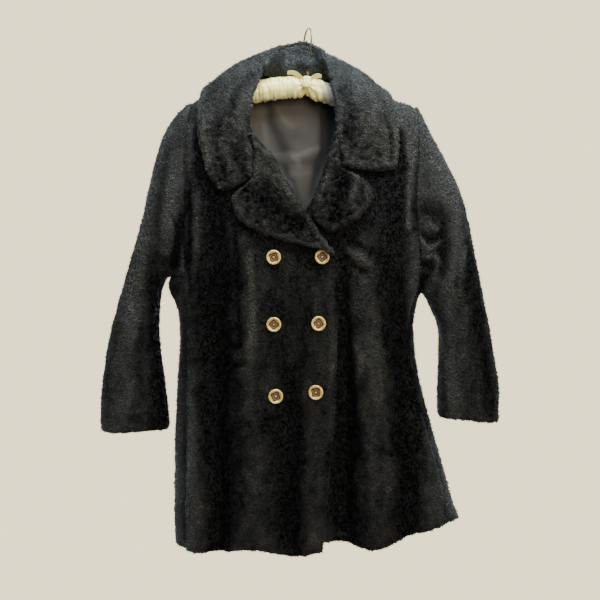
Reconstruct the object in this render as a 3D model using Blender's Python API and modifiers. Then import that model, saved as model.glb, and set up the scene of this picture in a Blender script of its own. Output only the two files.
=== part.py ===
"""Double-breasted faux fur coat hanging on a padded hanger.

Metres, +Z up. +X is towards the wearer's left, and the front of the coat faces -Y.
The origin is inside the top of the hook, where the coat hangs, and the hanger's arms lie in the plane y = 0.
The cloth is made of open sheets, laid out from short tables of levels and edges,
with the fur's thickness added inwards by Solidify.
"""

import math
from typing import NamedTuple

import bmesh
import bpy
from mathutils import Vector

COLLECTION = "faux_fur_coat"

# Driving sizes
FUR = 0.005  # backing, pile and lining together
SATIN = 0.0012
SEAM = 0.0004  # gap between pieces that are sewn together
SIDE_SEAM = 0.0023  # the same where the sheets bend round the body, so that their inner faces clear
LAY = 0.0006  # gap between pieces that lie on each other
UNDERLAP = FUR + 0.0034  # how deep the left front lies under the right one
UNDERLAP_MARGIN = 0.012  # how far beyond the right one's edge it is still as deep
UNDERLAP_FADE = 0.035  # and over how far it comes level with it
UNDERLAP_TOP = -0.335
UNDERLAP_TOP_FADE = 0.02
LAPEL_LEFT_CLEAR = 0.014  # how far out the left lapel takes its depth from, to clear that slope
ROUNDNESS = 2.6  # exponent of the body's rounded sides
SHOULDER_ROUND = 0.05  # how far below the shoulder seam the body is still closing
UNDERARM_RIGHT = -0.457
UNDERARM_LEFT = -0.490
TIP_RIGHT = -0.212  # where each shoulder seam ends
TIP_LEFT = 0.195
BUTTON_RADIUS = 0.013
BUTTON_THICK = 0.005
BUTTON_SHANK = 0.0015  # gap that the sewing thread holds
WIRE = 0.0016
HOOK_RADIUS = 0.022
HOOK_TURN = math.radians(108)  # the hook's own plane, from +X
STEM_FOOT = -0.0832
STEM_BEND = -0.062
HOOK_START = math.radians(222)
HOOK_END = math.radians(-2)
HOOK_PULL = 0.6  # how gently the stem bends into the arch

# How finely the sheets are divided
FRONT_RIGHT_COLUMNS = 12
FRONT_LEFT_COLUMNS = 15
BACK_COLUMNS = 14
SIDE_STEPS = 6
LAPEL_COLUMNS = 6
CURL_STEPS = 3
FALL_STEPS = 5
STAND_STEPS = 2
LINING_COLUMNS = 10
BUTTON_SIDES = 20
PAD_SIDES = 14
BEND_STEPS = 8
ARCH_STEPS = 18


class BodyLevel(NamedTuple):
    """One level of the body, from hem to shoulders. Seams become armholes above the underarm."""

    level: float
    left_edge: float
    right_edge: float
    left_seam: float
    right_seam: float
    front: float
    back: float


BODY = [
    BodyLevel(-0.965, -0.248, 0.283, -0.221, 0.266, 0.070, 0.044),
    BodyLevel(-0.871, -0.250, 0.266, -0.221, 0.250, 0.068, 0.042),
    BodyLevel(-0.786, -0.250, 0.245, -0.220, 0.230, 0.066, 0.040),
    BodyLevel(-0.730, -0.248, 0.228, -0.219, 0.213, 0.064, 0.039),
    BodyLevel(-0.673, -0.246, 0.209, -0.218, 0.195, 0.063, 0.038),
    BodyLevel(-0.600, -0.240, 0.199, -0.217, 0.184, 0.062, 0.037),
    BodyLevel(-0.545, -0.236, 0.193, -0.217, 0.179, 0.062, 0.036),
    BodyLevel(-0.520, -0.241, 0.197, -0.219, 0.184, 0.062, 0.036),
    BodyLevel(-0.487, -0.251, 0.208, -0.221, 0.196, 0.063, 0.036),
    BodyLevel(-0.455, -0.253, 0.218, -0.222, 0.200, 0.064, 0.036),
    BodyLevel(-0.400, -0.257, 0.232, -0.222, 0.198, 0.064, 0.036),
    BodyLevel(-0.335, -0.260, 0.240, -0.222, 0.188, 0.062, 0.036),
    BodyLevel(-0.270, -0.262, 0.243, -0.222, 0.195, 0.058, 0.035),
    BodyLevel(-0.200, -0.262, 0.245, -0.221, 0.197, 0.052, 0.034),
    BodyLevel(-0.134, -0.262, 0.245, -0.212, 0.195, 0.040, 0.034),
]


class LinePoint(NamedTuple):
    """A point of an outline seen from the front."""

    x: float
    level: float


SHOULDER_LINE = [
    LinePoint(-0.250, -0.160),
    LinePoint(-0.212, -0.134),
    LinePoint(-0.190, -0.122),
    LinePoint(-0.150, -0.100),
    LinePoint(-0.095, -0.082),
    LinePoint(-0.018, -0.078),
    LinePoint(0.057, -0.094),
    LinePoint(0.110, -0.112),
    LinePoint(0.165, -0.132),
    LinePoint(0.195, -0.141),
    LinePoint(0.250, -0.170),
]

HEM_RIGHT = [
    LinePoint(-0.222, -0.953),
    LinePoint(-0.190, -0.951),
    LinePoint(-0.146, -0.945),
    LinePoint(-0.097, -0.934),
    LinePoint(-0.034, -0.951),
    LinePoint(0.022, -0.940),
]

HEM_LEFT = [
    LinePoint(-0.090, -0.928),
    LinePoint(0.024, -0.927),
    LinePoint(0.080, -0.925),
    LinePoint(0.100, -0.940),
    LinePoint(0.133, -0.934),
    LinePoint(0.166, -0.921),
    LinePoint(0.215, -0.910),
    LinePoint(0.262, -0.897),
]

HEM_BACK = [
    LinePoint(-0.250, -0.944),
    LinePoint(-0.130, -0.944),
    LinePoint(0.000, -0.942),
    LinePoint(0.130, -0.932),
    LinePoint(0.270, -0.896),
]


class FrontRow(NamedTuple):
    """One row across a front, from the side seam or armhole to the front edge or roll line."""

    side_level: float
    edge_x: float
    edge_level: float


FRONT_RIGHT = [
    FrontRow(-0.953, 0.022, -0.940),
    FrontRow(-0.880, 0.029, -0.879),
    FrontRow(-0.800, 0.037, -0.800),
    FrontRow(-0.720, 0.044, -0.720),
    FrontRow(-0.640, 0.047, -0.640),
    FrontRow(-0.570, 0.048, -0.570),
    FrontRow(-0.510, 0.050, -0.500),
    FrontRow(-0.458, 0.0515, -0.428),
    FrontRow(-0.415, 0.024, -0.388),
    FrontRow(-0.375, -0.004, -0.349),
    FrontRow(-0.335, -0.028, -0.308),
    FrontRow(-0.295, -0.055, -0.262),
    FrontRow(-0.255, -0.090, -0.222),
    FrontRow(-0.220, -0.103, -0.188),
    FrontRow(-0.192, -0.100, -0.150),
]

FRONT_LEFT = [
    FrontRow(-0.897, -0.090, -0.928),
    FrontRow(-0.850, -0.090, -0.880),
    FrontRow(-0.785, -0.090, -0.800),
    FrontRow(-0.715, -0.090, -0.720),
    FrontRow(-0.640, -0.090, -0.640),
    FrontRow(-0.575, -0.090, -0.570),
    FrontRow(-0.525, -0.090, -0.500),
    FrontRow(-0.490, -0.088, -0.436),
    FrontRow(-0.445, -0.045, -0.388),
    FrontRow(-0.400, -0.003, -0.346),
    FrontRow(-0.355, 0.012, -0.318),
    FrontRow(-0.310, 0.024, -0.288),
    FrontRow(-0.265, 0.037, -0.242),
    FrontRow(-0.228, 0.048, -0.200),
    FrontRow(-0.196, 0.050, -0.160),
]

BACK_LEVELS = [
    *(-0.945, -0.88, -0.80, -0.72, -0.64, -0.57, -0.52),
    *(UNDERARM_LEFT, UNDERARM_RIGHT),
    *(-0.40, -0.33, -0.265),
]
SHOULDER_DROPS = [0.062, 0.035, 0.020, 0.010, 0.004, 0.001, 0.0]  # rows that close over the shoulder
NECK_RIGHT = -0.092
NECK_LEFT = 0.055
NECK_DIP = 0.015  # how far the back neckline hangs below the shoulder line


class Flute(NamedTuple):
    """A soft lengthwise fold. Depth is outwards, so a valley's is negative."""

    hem_x: float
    top_x: float
    top: float
    width: float
    depth: float


FRONT_FLUTES = [
    Flute(-0.172, -0.165, -0.30, 0.024, -0.013),
    Flute(-0.100, -0.100, -0.45, 0.034, 0.005),
    Flute(-0.038, -0.030, -0.56, 0.022, -0.009),
    Flute(0.006, 0.022, -0.50, 0.016, 0.004),
    Flute(0.057, 0.076, -0.42, 0.016, -0.013),
    Flute(0.118, 0.108, -0.42, 0.028, 0.007),
    Flute(0.186, 0.160, -0.50, 0.020, -0.010),
    Flute(0.232, 0.180, -0.60, 0.020, 0.004),
]

BACK_FLUTES = [
    Flute(-0.150, -0.130, -0.30, 0.026, -0.008),
    Flute(-0.050, -0.045, -0.42, 0.030, 0.006),
    Flute(0.045, 0.040, -0.36, 0.024, -0.008),
    Flute(0.125, 0.105, -0.48, 0.030, 0.006),
    Flute(0.200, 0.160, -0.55, 0.020, -0.006),
]


class LapelRow(NamedTuple):
    """One row across a lapel, from its roll line to its outer edge."""

    roll_x: float
    roll_level: float
    edge_x: float
    edge_level: float


LAPEL_RIGHT = [
    LapelRow(-0.0975, -0.207, -0.0998, -0.208),
    LapelRow(-0.0930, -0.221, -0.0997, -0.226),
    LapelRow(-0.0770, -0.239, -0.0995, -0.250),
    LapelRow(-0.0640, -0.252, -0.0992, -0.272),
    LapelRow(-0.0560, -0.260, -0.0990, -0.286),
    LapelRow(-0.0500, -0.272, -0.1180, -0.303),
    LapelRow(-0.0440, -0.283, -0.1340, -0.313),
    LapelRow(-0.0380, -0.294, -0.1360, -0.326),
    LapelRow(-0.0300, -0.306, -0.1310, -0.344),
    LapelRow(-0.0200, -0.322, -0.1160, -0.365),
    LapelRow(-0.0040, -0.349, -0.0880, -0.381),
    LapelRow(0.0095, -0.368, -0.0530, -0.392),
    LapelRow(0.0240, -0.388, -0.0180, -0.4035),
    LapelRow(0.0375, -0.407, 0.0170, -0.4095),
    LapelRow(0.0500, -0.425, 0.0370, -0.4200),
]

LAPEL_LEFT = [
    LapelRow(0.0485, -0.206, 0.0508, -0.206),
    LapelRow(0.0475, -0.214, 0.0518, -0.217),
    LapelRow(0.0415, -0.230, 0.0540, -0.235),
    LapelRow(0.0345, -0.252, 0.0566, -0.256),
    LapelRow(0.0318, -0.262, 0.0590, -0.2695),
    LapelRow(0.0300, -0.268, 0.0790, -0.2765),
    LapelRow(0.0280, -0.276, 0.0970, -0.2850),
    LapelRow(0.0244, -0.286, 0.1090, -0.2970),
    LapelRow(0.0205, -0.297, 0.1125, -0.3130),
    LapelRow(0.0170, -0.308, 0.1100, -0.3310),
    LapelRow(0.0120, -0.322, 0.0955, -0.3490),
    LapelRow(0.0060, -0.337, 0.0680, -0.3680),
    LapelRow(0.0075, -0.354, 0.0440, -0.3810),
    LapelRow(0.0200, -0.370, 0.0330, -0.3840),
]
LAPEL_PUFF = 0.002
LAPEL_EDGE = 0.001


class CollarRow(NamedTuple):
    """One row across the collar, from its roll line to its outer edge.

    The depths are forwards from the middle plane. Curl is how far the row bends down into the neck,
    puff how far it bows outwards, and sag how far its middle hangs down.
    """

    roll_x: float
    roll_depth: float
    roll_level: float
    edge_x: float
    edge_depth: float
    edge_level: float
    curl: float
    puff: float
    sag: float


COLLAR = [
    CollarRow(-0.1015, 0.0645, -0.283, -0.162, 0.062, -0.303, 0.000, 0.003, 0.009),
    CollarRow(-0.1015, 0.0625, -0.250, -0.178, 0.059, -0.276, 0.000, 0.004, 0.006),
    CollarRow(-0.1015, 0.0600, -0.218, -0.189, 0.055, -0.240, 0.000, 0.006, 0.000),
    CollarRow(-0.1030, 0.0575, -0.188, -0.197, 0.051, -0.204, 0.002, 0.008, 0.000),
    CollarRow(-0.0990, 0.0530, -0.152, -0.200, 0.044, -0.168, 0.005, 0.010, 0.000),
    CollarRow(-0.0960, 0.0430, -0.120, -0.198, 0.030, -0.134, 0.007, 0.013, 0.000),
    CollarRow(-0.0890, 0.0270, -0.085, -0.192, 0.010, -0.109, 0.008, 0.017, 0.000),
    CollarRow(-0.0760, 0.0100, -0.055, -0.172, -0.022, -0.104, 0.008, 0.022, 0.000),
    CollarRow(-0.0560, -0.0020, -0.034, -0.128, -0.046, -0.112, 0.008, 0.018, 0.000),
    CollarRow(-0.0360, -0.0085, -0.022, -0.072, -0.050, -0.128, 0.008, 0.012, 0.000),
    CollarRow(-0.0130, -0.0110, -0.017, -0.018, -0.050, -0.134, 0.008, 0.009, 0.000),
    CollarRow(0.0090, -0.0095, -0.022, 0.036, -0.050, -0.132, 0.008, 0.012, 0.000),
    CollarRow(0.0280, -0.0030, -0.037, 0.088, -0.046, -0.120, 0.008, 0.018, 0.000),
    CollarRow(0.0400, 0.0090, -0.062, 0.128, -0.022, -0.112, 0.008, 0.021, 0.000),
    CollarRow(0.0460, 0.0260, -0.093, 0.147, 0.012, -0.117, 0.008, 0.017, 0.000),
    CollarRow(0.0480, 0.0440, -0.126, 0.156, 0.036, -0.143, 0.007, 0.013, 0.000),
    CollarRow(0.0490, 0.0540, -0.160, 0.161, 0.050, -0.182, 0.005, 0.010, 0.000),
    CollarRow(0.0500, 0.0590, -0.190, 0.162, 0.0545, -0.218, 0.002, 0.008, 0.000),
    CollarRow(0.0560, 0.0620, -0.228, 0.161, 0.057, -0.246, 0.000, 0.005, 0.000),
    CollarRow(0.0620, 0.0645, -0.264, 0.152, 0.060, -0.268, 0.000, 0.003, 0.006),
]
COLLAR_CURL_WIDTH = 0.007
FULL_CURL = 0.008
FLAT_STEP = 0.003  # spacing of the same points where the collar lies flat
COLLAR_STEP = 0.5  # rows of the collar's table from one row of its mesh to the next


class StandFoot(NamedTuple):
    """A point of the collar stand's foot. Number counts along the collar's rows."""

    number: float
    x: float
    depth: float
    level: float


STAND_THICK = 0.003  # shorter pile than the rest
STAND_GAP = 0.0025
STAND_INSET = 0.0045
STAND = [
    StandFoot(6.5, -0.0770, 0.0130, -0.0895),
    StandFoot(7.0, -0.0735, 0.0030, -0.0855),
    StandFoot(7.5, -0.0690, -0.0080, -0.0865),
    StandFoot(8.0, -0.0590, -0.0155, -0.0895),
    StandFoot(9.0, -0.0385, -0.0190, -0.0915),
    StandFoot(10.0, -0.0150, -0.0190, -0.0925),
    StandFoot(11.0, 0.0080, -0.0190, -0.0945),
    StandFoot(12.0, 0.0250, -0.0155, -0.0965),
    StandFoot(12.5, 0.0330, -0.0080, -0.0935),
    StandFoot(13.0, 0.0375, 0.0030, -0.0925),
    StandFoot(13.5, 0.0405, 0.0130, -0.1000),
]


class LiningRow(NamedTuple):
    """One row of the back lining, from hem to neck."""

    level: float
    left: float
    right: float


LINING = [
    LiningRow(-0.900, -0.185, 0.215),
    LiningRow(-0.790, -0.185, 0.190),
    LiningRow(-0.680, -0.180, 0.160),
    LiningRow(-0.590, -0.178, 0.145),
    LiningRow(-0.510, -0.178, 0.145),
    LiningRow(-0.440, -0.178, 0.150),
    LiningRow(-0.370, -0.178, 0.150),
    LiningRow(-0.310, -0.178, 0.150),
    LiningRow(-0.250, -0.176, 0.150),
    LiningRow(-0.200, -0.165, 0.140),
    LiningRow(-0.160, -0.140, 0.115),
    LiningRow(-0.135, -0.115, 0.080),
    LiningRow(-0.118, -0.090, 0.050),
]
LINING_EASE = 0.002  # slack between the lining and the back
LINING_REACH = 0.012  # how far to each side the lining clears the back's folds


class SleeveRing(NamedTuple):
    """One ring round a sleeve, between its outer and its inner edge. Fold is the crease in its front."""

    outer_x: float
    outer_level: float
    inner_x: float
    inner_level: float
    front: float
    back: float
    fold: float


SLEEVE_RIGHT = [
    SleeveRing(-0.238, -0.150, -0.2615, -0.463, 0.041, 0.032, 0.000),
    SleeveRing(-0.260, -0.176, -0.2640, -0.469, 0.042, 0.032, 0.000),
    SleeveRing(-0.278, -0.224, -0.2665, -0.477, 0.043, 0.033, 0.002),
    SleeveRing(-0.290, -0.285, -0.2695, -0.487, 0.044, 0.034, 0.004),
    SleeveRing(-0.303, -0.345, -0.2710, -0.501, 0.045, 0.035, 0.005),
    SleeveRing(-0.322, -0.418, -0.2735, -0.520, 0.046, 0.036, 0.006),
    SleeveRing(-0.347, -0.498, -0.2740, -0.548, 0.046, 0.037, 0.006),
    SleeveRing(-0.362, -0.548, -0.2710, -0.582, 0.046, 0.038, 0.007),
    SleeveRing(-0.374, -0.600, -0.2660, -0.620, 0.046, 0.038, 0.007),
    SleeveRing(-0.381, -0.655, -0.2600, -0.662, 0.045, 0.037, 0.007),
    SleeveRing(-0.385, -0.700, -0.2565, -0.702, 0.044, 0.036, 0.006),
    SleeveRing(-0.383, -0.738, -0.2545, -0.735, 0.043, 0.035, 0.006),
]

SLEEVE_LEFT = [
    SleeveRing(0.214, -0.164, 0.2165, -0.496, 0.039, 0.032, 0.000),
    SleeveRing(0.234, -0.204, 0.2190, -0.502, 0.041, 0.032, 0.000),
    SleeveRing(0.254, -0.243, 0.2225, -0.509, 0.043, 0.033, 0.002),
    SleeveRing(0.276, -0.285, 0.2265, -0.516, 0.045, 0.034, 0.004),
    SleeveRing(0.291, -0.328, 0.2290, -0.523, 0.046, 0.035, 0.006),
    SleeveRing(0.299, -0.372, 0.2340, -0.533, 0.046, 0.036, 0.006),
    SleeveRing(0.310, -0.424, 0.2390, -0.545, 0.046, 0.036, 0.007),
    SleeveRing(0.322, -0.484, 0.2420, -0.560, 0.046, 0.037, 0.008),
    SleeveRing(0.335, -0.556, 0.2420, -0.592, 0.046, 0.037, 0.009),
    SleeveRing(0.347, -0.618, 0.2400, -0.636, 0.045, 0.036, 0.010),
    SleeveRing(0.354, -0.668, 0.2380, -0.680, 0.044, 0.036, 0.010),
    SleeveRing(0.352, -0.722, 0.2400, -0.714, 0.043, 0.035, 0.011),
]
SLEEVE_POINTS = 24
SLEEVE_ROUNDNESS = 2.3
SLEEVE_LEAD = 0.005  # how far a sleeve carries on level from its armhole
FOLD_ANGLE = math.radians(112)  # where a sleeve's front crease runs, from its outer edge
FOLD_WIDTH = math.radians(24)


class PadSection(NamedTuple):
    """One section of the hanger's padded arms."""

    x: float
    level: float
    half_height: float
    half_thick: float


PAD = [
    PadSection(-0.197, -0.153, 0.005, 0.005),
    PadSection(-0.191, -0.150, 0.012, 0.010),
    PadSection(-0.172, -0.141, 0.017, 0.014),
    PadSection(-0.135, -0.125, 0.020, 0.016),
    PadSection(-0.095, -0.112, 0.0215, 0.017),
    PadSection(-0.050, -0.106, 0.022, 0.017),
    PadSection(-0.003, -0.105, 0.021, 0.017),
    PadSection(0.030, -0.113, 0.021, 0.017),
    PadSection(0.062, -0.124, 0.021, 0.017),
    PadSection(0.110, -0.142, 0.020, 0.016),
    PadSection(0.148, -0.157, 0.017, 0.014),
    PadSection(0.166, -0.164, 0.012, 0.010),
    PadSection(0.172, -0.167, 0.005, 0.005),
]


class Lump(NamedTuple):
    """A soft lump of ribbon."""

    name: str
    x: float
    depth: float
    level: float
    half_wide: float
    half_thick: float
    half_high: float
    tilt: float


BOW = [
    Lump("bow_loop_right", -0.0215, 0.010, -0.0770, 0.0145, 0.0050, 0.0058, math.radians(12)),
    Lump("bow_loop_left", 0.0150, 0.010, -0.0830, 0.0110, 0.0050, 0.0050, math.radians(18)),
    Lump("bow_knot", -0.0020, 0.0225, -0.0960, 0.0055, 0.0045, 0.0065, 0.0),
]

BUTTON_PROFILE = [
    (0.0, 0.0032),
    (0.0080, 0.0032),
    (0.0092, 0.0024),
    (0.0103, 0.0043),
    (0.0116, 0.0050),
    (0.0128, 0.0040),
    (0.0130, 0.0020),
    (0.0115, 0.0),
    (0.0, 0.0),
]  # radius and height
BUTTONS = [
    LinePoint(-0.061, -0.425),
    LinePoint(0.024, -0.4245),
    LinePoint(-0.061, -0.543),
    LinePoint(0.0175, -0.5415),
    LinePoint(-0.0585, -0.669),
    LinePoint(0.0125, -0.662),
]


def smooth_step(value):
    """0 below 0, 1 above 1 and a soft rise between."""
    held = min(max(value, 0.0), 1.0)
    return held * held * (3.0 - 2.0 * held)


def smooth_at(places, values, place):
    """The value at a place on the smooth curve through points whose places rise."""
    if place <= places[0]:
        return values[0]
    if place >= places[-1]:
        return values[-1]
    after = next(i for i, p in enumerate(places) if p > place)
    before = after - 1

    def slope(i):
        low = max(i - 1, 0)
        high = min(i + 1, len(places) - 1)
        return (values[high] - values[low]) / (places[high] - places[low])

    span = places[after] - places[before]
    t = (place - places[before]) / span
    start = (1 + 2 * t) * (1 - t) ** 2 * values[before] + t * (1 - t) ** 2 * span * slope(before)
    end = t * t * (3 - 2 * t) * values[after] + t * t * (t - 1) * span * slope(after)
    return start + end


def read(table, key, name, place):
    """A column's value where the table's key column, which rises, has a value."""
    return smooth_at([getattr(row, key) for row in table], [getattr(row, name) for row in table], place)


def along(table, name, number):
    """A column's value at a place counted in rows."""
    return smooth_at(range(len(table)), [getattr(row, name) for row in table], number)


def body(name, level):
    return read(BODY, "level", name, level)


def shoulder(x):
    return read(SHOULDER_LINE, "x", "level", x)


def side_share(x, level):
    """How much of the body's depth is left at x: 1 in the middle, 0 at its edges."""
    left = body("left_edge", level)
    right = body("right_edge", level)
    across = min(abs(2 * x - left - right) / (right - left), 1.0)
    return (1 - across**ROUNDNESS) ** (1 / ROUNDNESS)


def shoulder_share(x, level, grow):
    """How much of the body's depth is left under the shoulder seam, which closes in a round."""
    drop = (shoulder(x) + grow - level) / (SHOULDER_ROUND + grow)
    drop = min(max(drop, 0.0), 1.0)
    return math.sqrt(drop * (2 - drop))


def fluted(flutes, x, level):
    """Sum of the soft lengthwise folds at a point."""
    total = 0.0
    for flute in flutes:
        run = min(max((flute.top - level) / (flute.top - BODY[0].level), 0.0), 1.0)
        centre = flute.top_x + (flute.hem_x - flute.top_x) * run
        shape = math.exp(-(((x - centre) / flute.width) ** 2))
        total += flute.depth * shape * smooth_step(1.8 * run)
    return total


def front_depth(x, level, grow=0.0):
    """How far the front's skin stands before the middle plane."""
    side = side_share(x, level)
    folds = fluted(FRONT_FLUTES, x, level)
    return ((body("front", level) + grow) * shoulder_share(x, level, grow) + folds) * side


def back_depth(x, level, grow=0.0):
    """How far the back's skin stands behind the middle plane."""
    side = side_share(x, level)
    folds = fluted(BACK_FLUTES, x, level)
    return ((body("back", level) + grow) * shoulder_share(x, level, grow) + folds) * side


def overlap_edge(level):
    """Where the right front's edge or roll line lies at a level."""
    rows = [row for row in FRONT_RIGHT if row.edge_level < UNDERLAP_TOP]
    return read(rows, "edge_level", "edge_x", level)


def recess(x, level):
    """How far the left front lies under the right one, fading out beyond the right one's edge."""
    beyond = (x - overlap_edge(level) - UNDERLAP_MARGIN) / UNDERLAP_FADE
    above = (level - UNDERLAP_TOP) / UNDERLAP_TOP_FADE
    return UNDERLAP * (1 - smooth_step(beyond)) * (1 - smooth_step(above))


def material(name, colour, roughness, metallic=0.0):
    """A plain Principled material."""
    made = bpy.data.materials.new(name)
    made.use_nodes = True
    shader = made.node_tree.nodes["Principled BSDF"]
    shader.inputs["Base Color"].default_value = (*colour, 1.0)
    shader.inputs["Roughness"].default_value = roughness
    shader.inputs["Metallic"].default_value = metallic
    made.diffuse_color = (*colour, 1.0)
    return made


def fur_of(piece):
    return material(f"{piece}_fur", (0.012, 0.012, 0.014), 0.9)


def lining_of(piece):
    return material(f"{piece}_lining", (0.07, 0.065, 0.065), 0.4)


def resin_of(piece):
    return material(f"{piece}_resin", (0.62, 0.50, 0.27), 0.35)


def satin_of(piece):
    return material(f"{piece}_satin", (0.82, 0.79, 0.70), 0.35)


def wire_of(piece):
    return material(f"{piece}_metal", (0.62, 0.55, 0.40), 0.3, 1.0)


def add_piece(name, data, finish):
    """Put a mesh or a curve in the coat's collection under its own name."""
    made = bpy.data.objects.new(name, data)
    made.data.materials.append(finish)
    bpy.data.collections[COLLECTION].objects.link(made)
    return made


def sheet(name, rows, finish, thick, kept=None, closed=False, inwards=False):
    """An open grid of points given a thickness behind its face.

    Kept says which cells are filled, closed joins each row's ends into a ring, and inwards turns the
    face to the other side.
    """
    grid = bmesh.new()
    corners = [[grid.verts.new(point) for point in row] for row in rows]
    columns = len(rows[0])
    for r in range(len(rows) - 1):
        for c in range(columns if closed else columns - 1):
            if kept is None or kept(r, c):
                after = (c + 1) % columns
                face = [corners[r][c], corners[r][after], corners[r + 1][after], corners[r + 1][c]]
                grid.faces.new(face[::-1] if inwards else face)
    loose = [v for v in grid.verts if not v.link_faces]
    bmesh.ops.delete(grid, geom=loose, context="VERTS")
    mesh = bpy.data.meshes.new(name)
    grid.to_mesh(mesh)
    grid.free()
    made = add_piece(name, mesh, finish)
    wall = made.modifiers.new("wall", "SOLIDIFY")
    wall.thickness = thick
    wall.offset = -1.0
    wall.use_even_offset = False
    mesh.shade_smooth()
    return made


def front_point(x, level, lift=0.0, under=0.0):
    """A point on the coat's front, moved out by lift or in by under."""
    depth = front_depth(x, level, lift) - under
    return Vector((x, -depth, level))


def front_rows(table, side, hem, neck_x, columns):
    """Rows of points across a front, from hem to shoulder seam."""
    rows = []
    for number, row in enumerate(table):
        side_x = body(side, row.side_level)
        points = []
        for c in range(columns + 1):
            share = c / columns
            x = side_x + (row.edge_x - side_x) * share
            level = row.side_level + (row.edge_level - row.side_level) * share
            if number == 0:
                level = read(hem, "x", "level", x)
            points.append((x, level))
        rows.append(points)
    last = table[-1]
    for number, drop in enumerate(SHOULDER_DROPS):
        closing = (number + 1) / len(SHOULDER_DROPS)
        edge_x = last.edge_x + (neck_x - last.edge_x) * closing
        seam_x = body(side, shoulder(neck_x) - drop)
        side_x = body(side, shoulder(seam_x) - drop)
        spread = [side_x + (edge_x - side_x) * c / columns for c in range(columns + 1)]
        rows.append([(x, shoulder(x) - drop) for x in spread])
    return rows


def make_front_right():
    rows = front_rows(FRONT_RIGHT, "left_seam", HEM_RIGHT, NECK_RIGHT, FRONT_RIGHT_COLUMNS)
    points = [[front_point(x + SEAM, level) - Vector((0, SEAM, 0)) for x, level in row] for row in rows]
    return sheet("front_right", points, fur_of("front_right"), FUR)


def make_front_left():
    rows = front_rows(FRONT_LEFT, "right_seam", HEM_LEFT, NECK_LEFT, FRONT_LEFT_COLUMNS)
    points = []
    for row in rows:
        inset = [(x - SEAM, level) for x, level in row]
        moved = [front_point(x, level, under=recess(x, level)) - Vector((0, SEAM, 0)) for x, level in inset]
        points.append(moved[::-1])
    return sheet("front_left", points, fur_of("front_left"), FUR)


def side_points(side, level, steps):
    """Points round the body's side at a level, from its front seam to the matching place at the back."""
    edge = body(f"{side}_edge", level)
    seam = body(f"{side}_seam", level)
    middle = (body("left_edge", level) + body("right_edge", level)) / 2
    reach = edge - middle
    start = math.acos(min((seam - middle) / reach, 1.0) ** (ROUNDNESS / 2))
    points = []
    for step in range(steps + 1):
        angle = start * (1 - 2 * step / steps)
        x = middle + reach * math.cos(angle) ** (2 / ROUNDNESS)
        depth = math.copysign(abs(math.sin(angle)) ** (2 / ROUNDNESS), angle)
        depth *= body("front", level) if angle > 0 else body("back", level)
        points.append(Vector((x, -depth, level)))
    return points


def back_top(x):
    """The shoulder seams and the neckline between them."""
    across = (x - NECK_RIGHT) / (NECK_LEFT - NECK_RIGHT)
    if across <= 0 or across >= 1:
        return shoulder(x)
    return shoulder(x) - NECK_DIP * math.sin(math.pi * across) ** 0.5


def back_point(x, level, grow=0.0):
    return Vector((x, back_depth(x, level, grow), level))


def back_row(level):
    """A whole row at a level: round the right side, across the back and round the left side."""
    right_side = side_points("left", level, SIDE_STEPS)
    left_side = side_points("right", level, SIDE_STEPS)
    start = body("left_seam", level)
    end = body("right_seam", level)
    middle = []
    for c in range(1, BACK_COLUMNS):
        x = start + (end - start) * c / BACK_COLUMNS
        middle.append(back_point(x, level))
    return right_side + middle + left_side[::-1]


def make_back():
    rows = [back_row(level) for level in BACK_LEVELS]
    for point in rows[0]:
        point.z = read(HEM_BACK, "x", "level", point.x)
    for drop in SHOULDER_DROPS:
        start = body("left_seam", shoulder(TIP_RIGHT) - drop)
        end = body("right_seam", shoulder(TIP_LEFT) - drop)
        points = []
        for c in range(BACK_COLUMNS + 1):
            x = start + (end - start) * c / BACK_COLUMNS
            points.append(back_point(x, back_top(x) - drop))
        rows.append([points[0]] * SIDE_STEPS + points + [points[-1]] * SIDE_STEPS)
    right_top = BACK_LEVELS.index(UNDERARM_RIGHT)
    left_top = BACK_LEVELS.index(UNDERARM_LEFT)
    columns = len(rows[0]) - 1

    def kept(r, c):
        if c < SIDE_STEPS:
            return r < right_top
        if c >= columns - SIDE_STEPS:
            return r < left_top
        return True

    points = [[point + Vector((0, SIDE_SEAM, 0)) for point in row] for row in rows]
    return sheet("back", points, fur_of("back"), FUR, kept, inwards=True)


def armhole(side, bottom, tip_x):
    """The armhole as a ring: down its front edge, round under the arm and up its back edge."""
    top = shoulder(tip_x)
    edge_steps = SLEEVE_POINTS * 5 // 12
    arc_steps = SLEEVE_POINTS - 2 * edge_steps
    front = []
    back = []
    for step in range(edge_steps + 1):
        level = top + (bottom - top) * (1 - math.cos(math.pi / 2 * step / edge_steps) ** 1.2)
        x = body(f"{side}_seam", level)
        front.append(front_point(x, level))
        back.append(back_point(x, level))
    arc = side_points(side, bottom, arc_steps)
    return front + arc[1:-1] + back[:0:-1]


def sleeve_ring(row):
    """Points round a sleeve, starting at its outer edge and passing its front first."""
    outer = Vector((row.outer_x, 0, row.outer_level))
    inner = Vector((row.inner_x, 0, row.inner_level))
    centre = (outer + inner) / 2
    reach = (outer - inner) / 2
    points = []
    for step in range(SLEEVE_POINTS):
        angle = 2 * math.pi * step / SLEEVE_POINTS
        across = math.copysign(abs(math.cos(angle)) ** (2 / SLEEVE_ROUNDNESS), math.cos(angle))
        out = math.copysign(abs(math.sin(angle)) ** (2 / SLEEVE_ROUNDNESS), math.sin(angle))
        depth = out * (row.front if out > 0 else row.back)
        depth -= row.fold * math.exp(-(((angle - FOLD_ANGLE) / FOLD_WIDTH) ** 2))
        points.append(centre + reach * across - Vector((0, depth, 0)))
    return points


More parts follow.
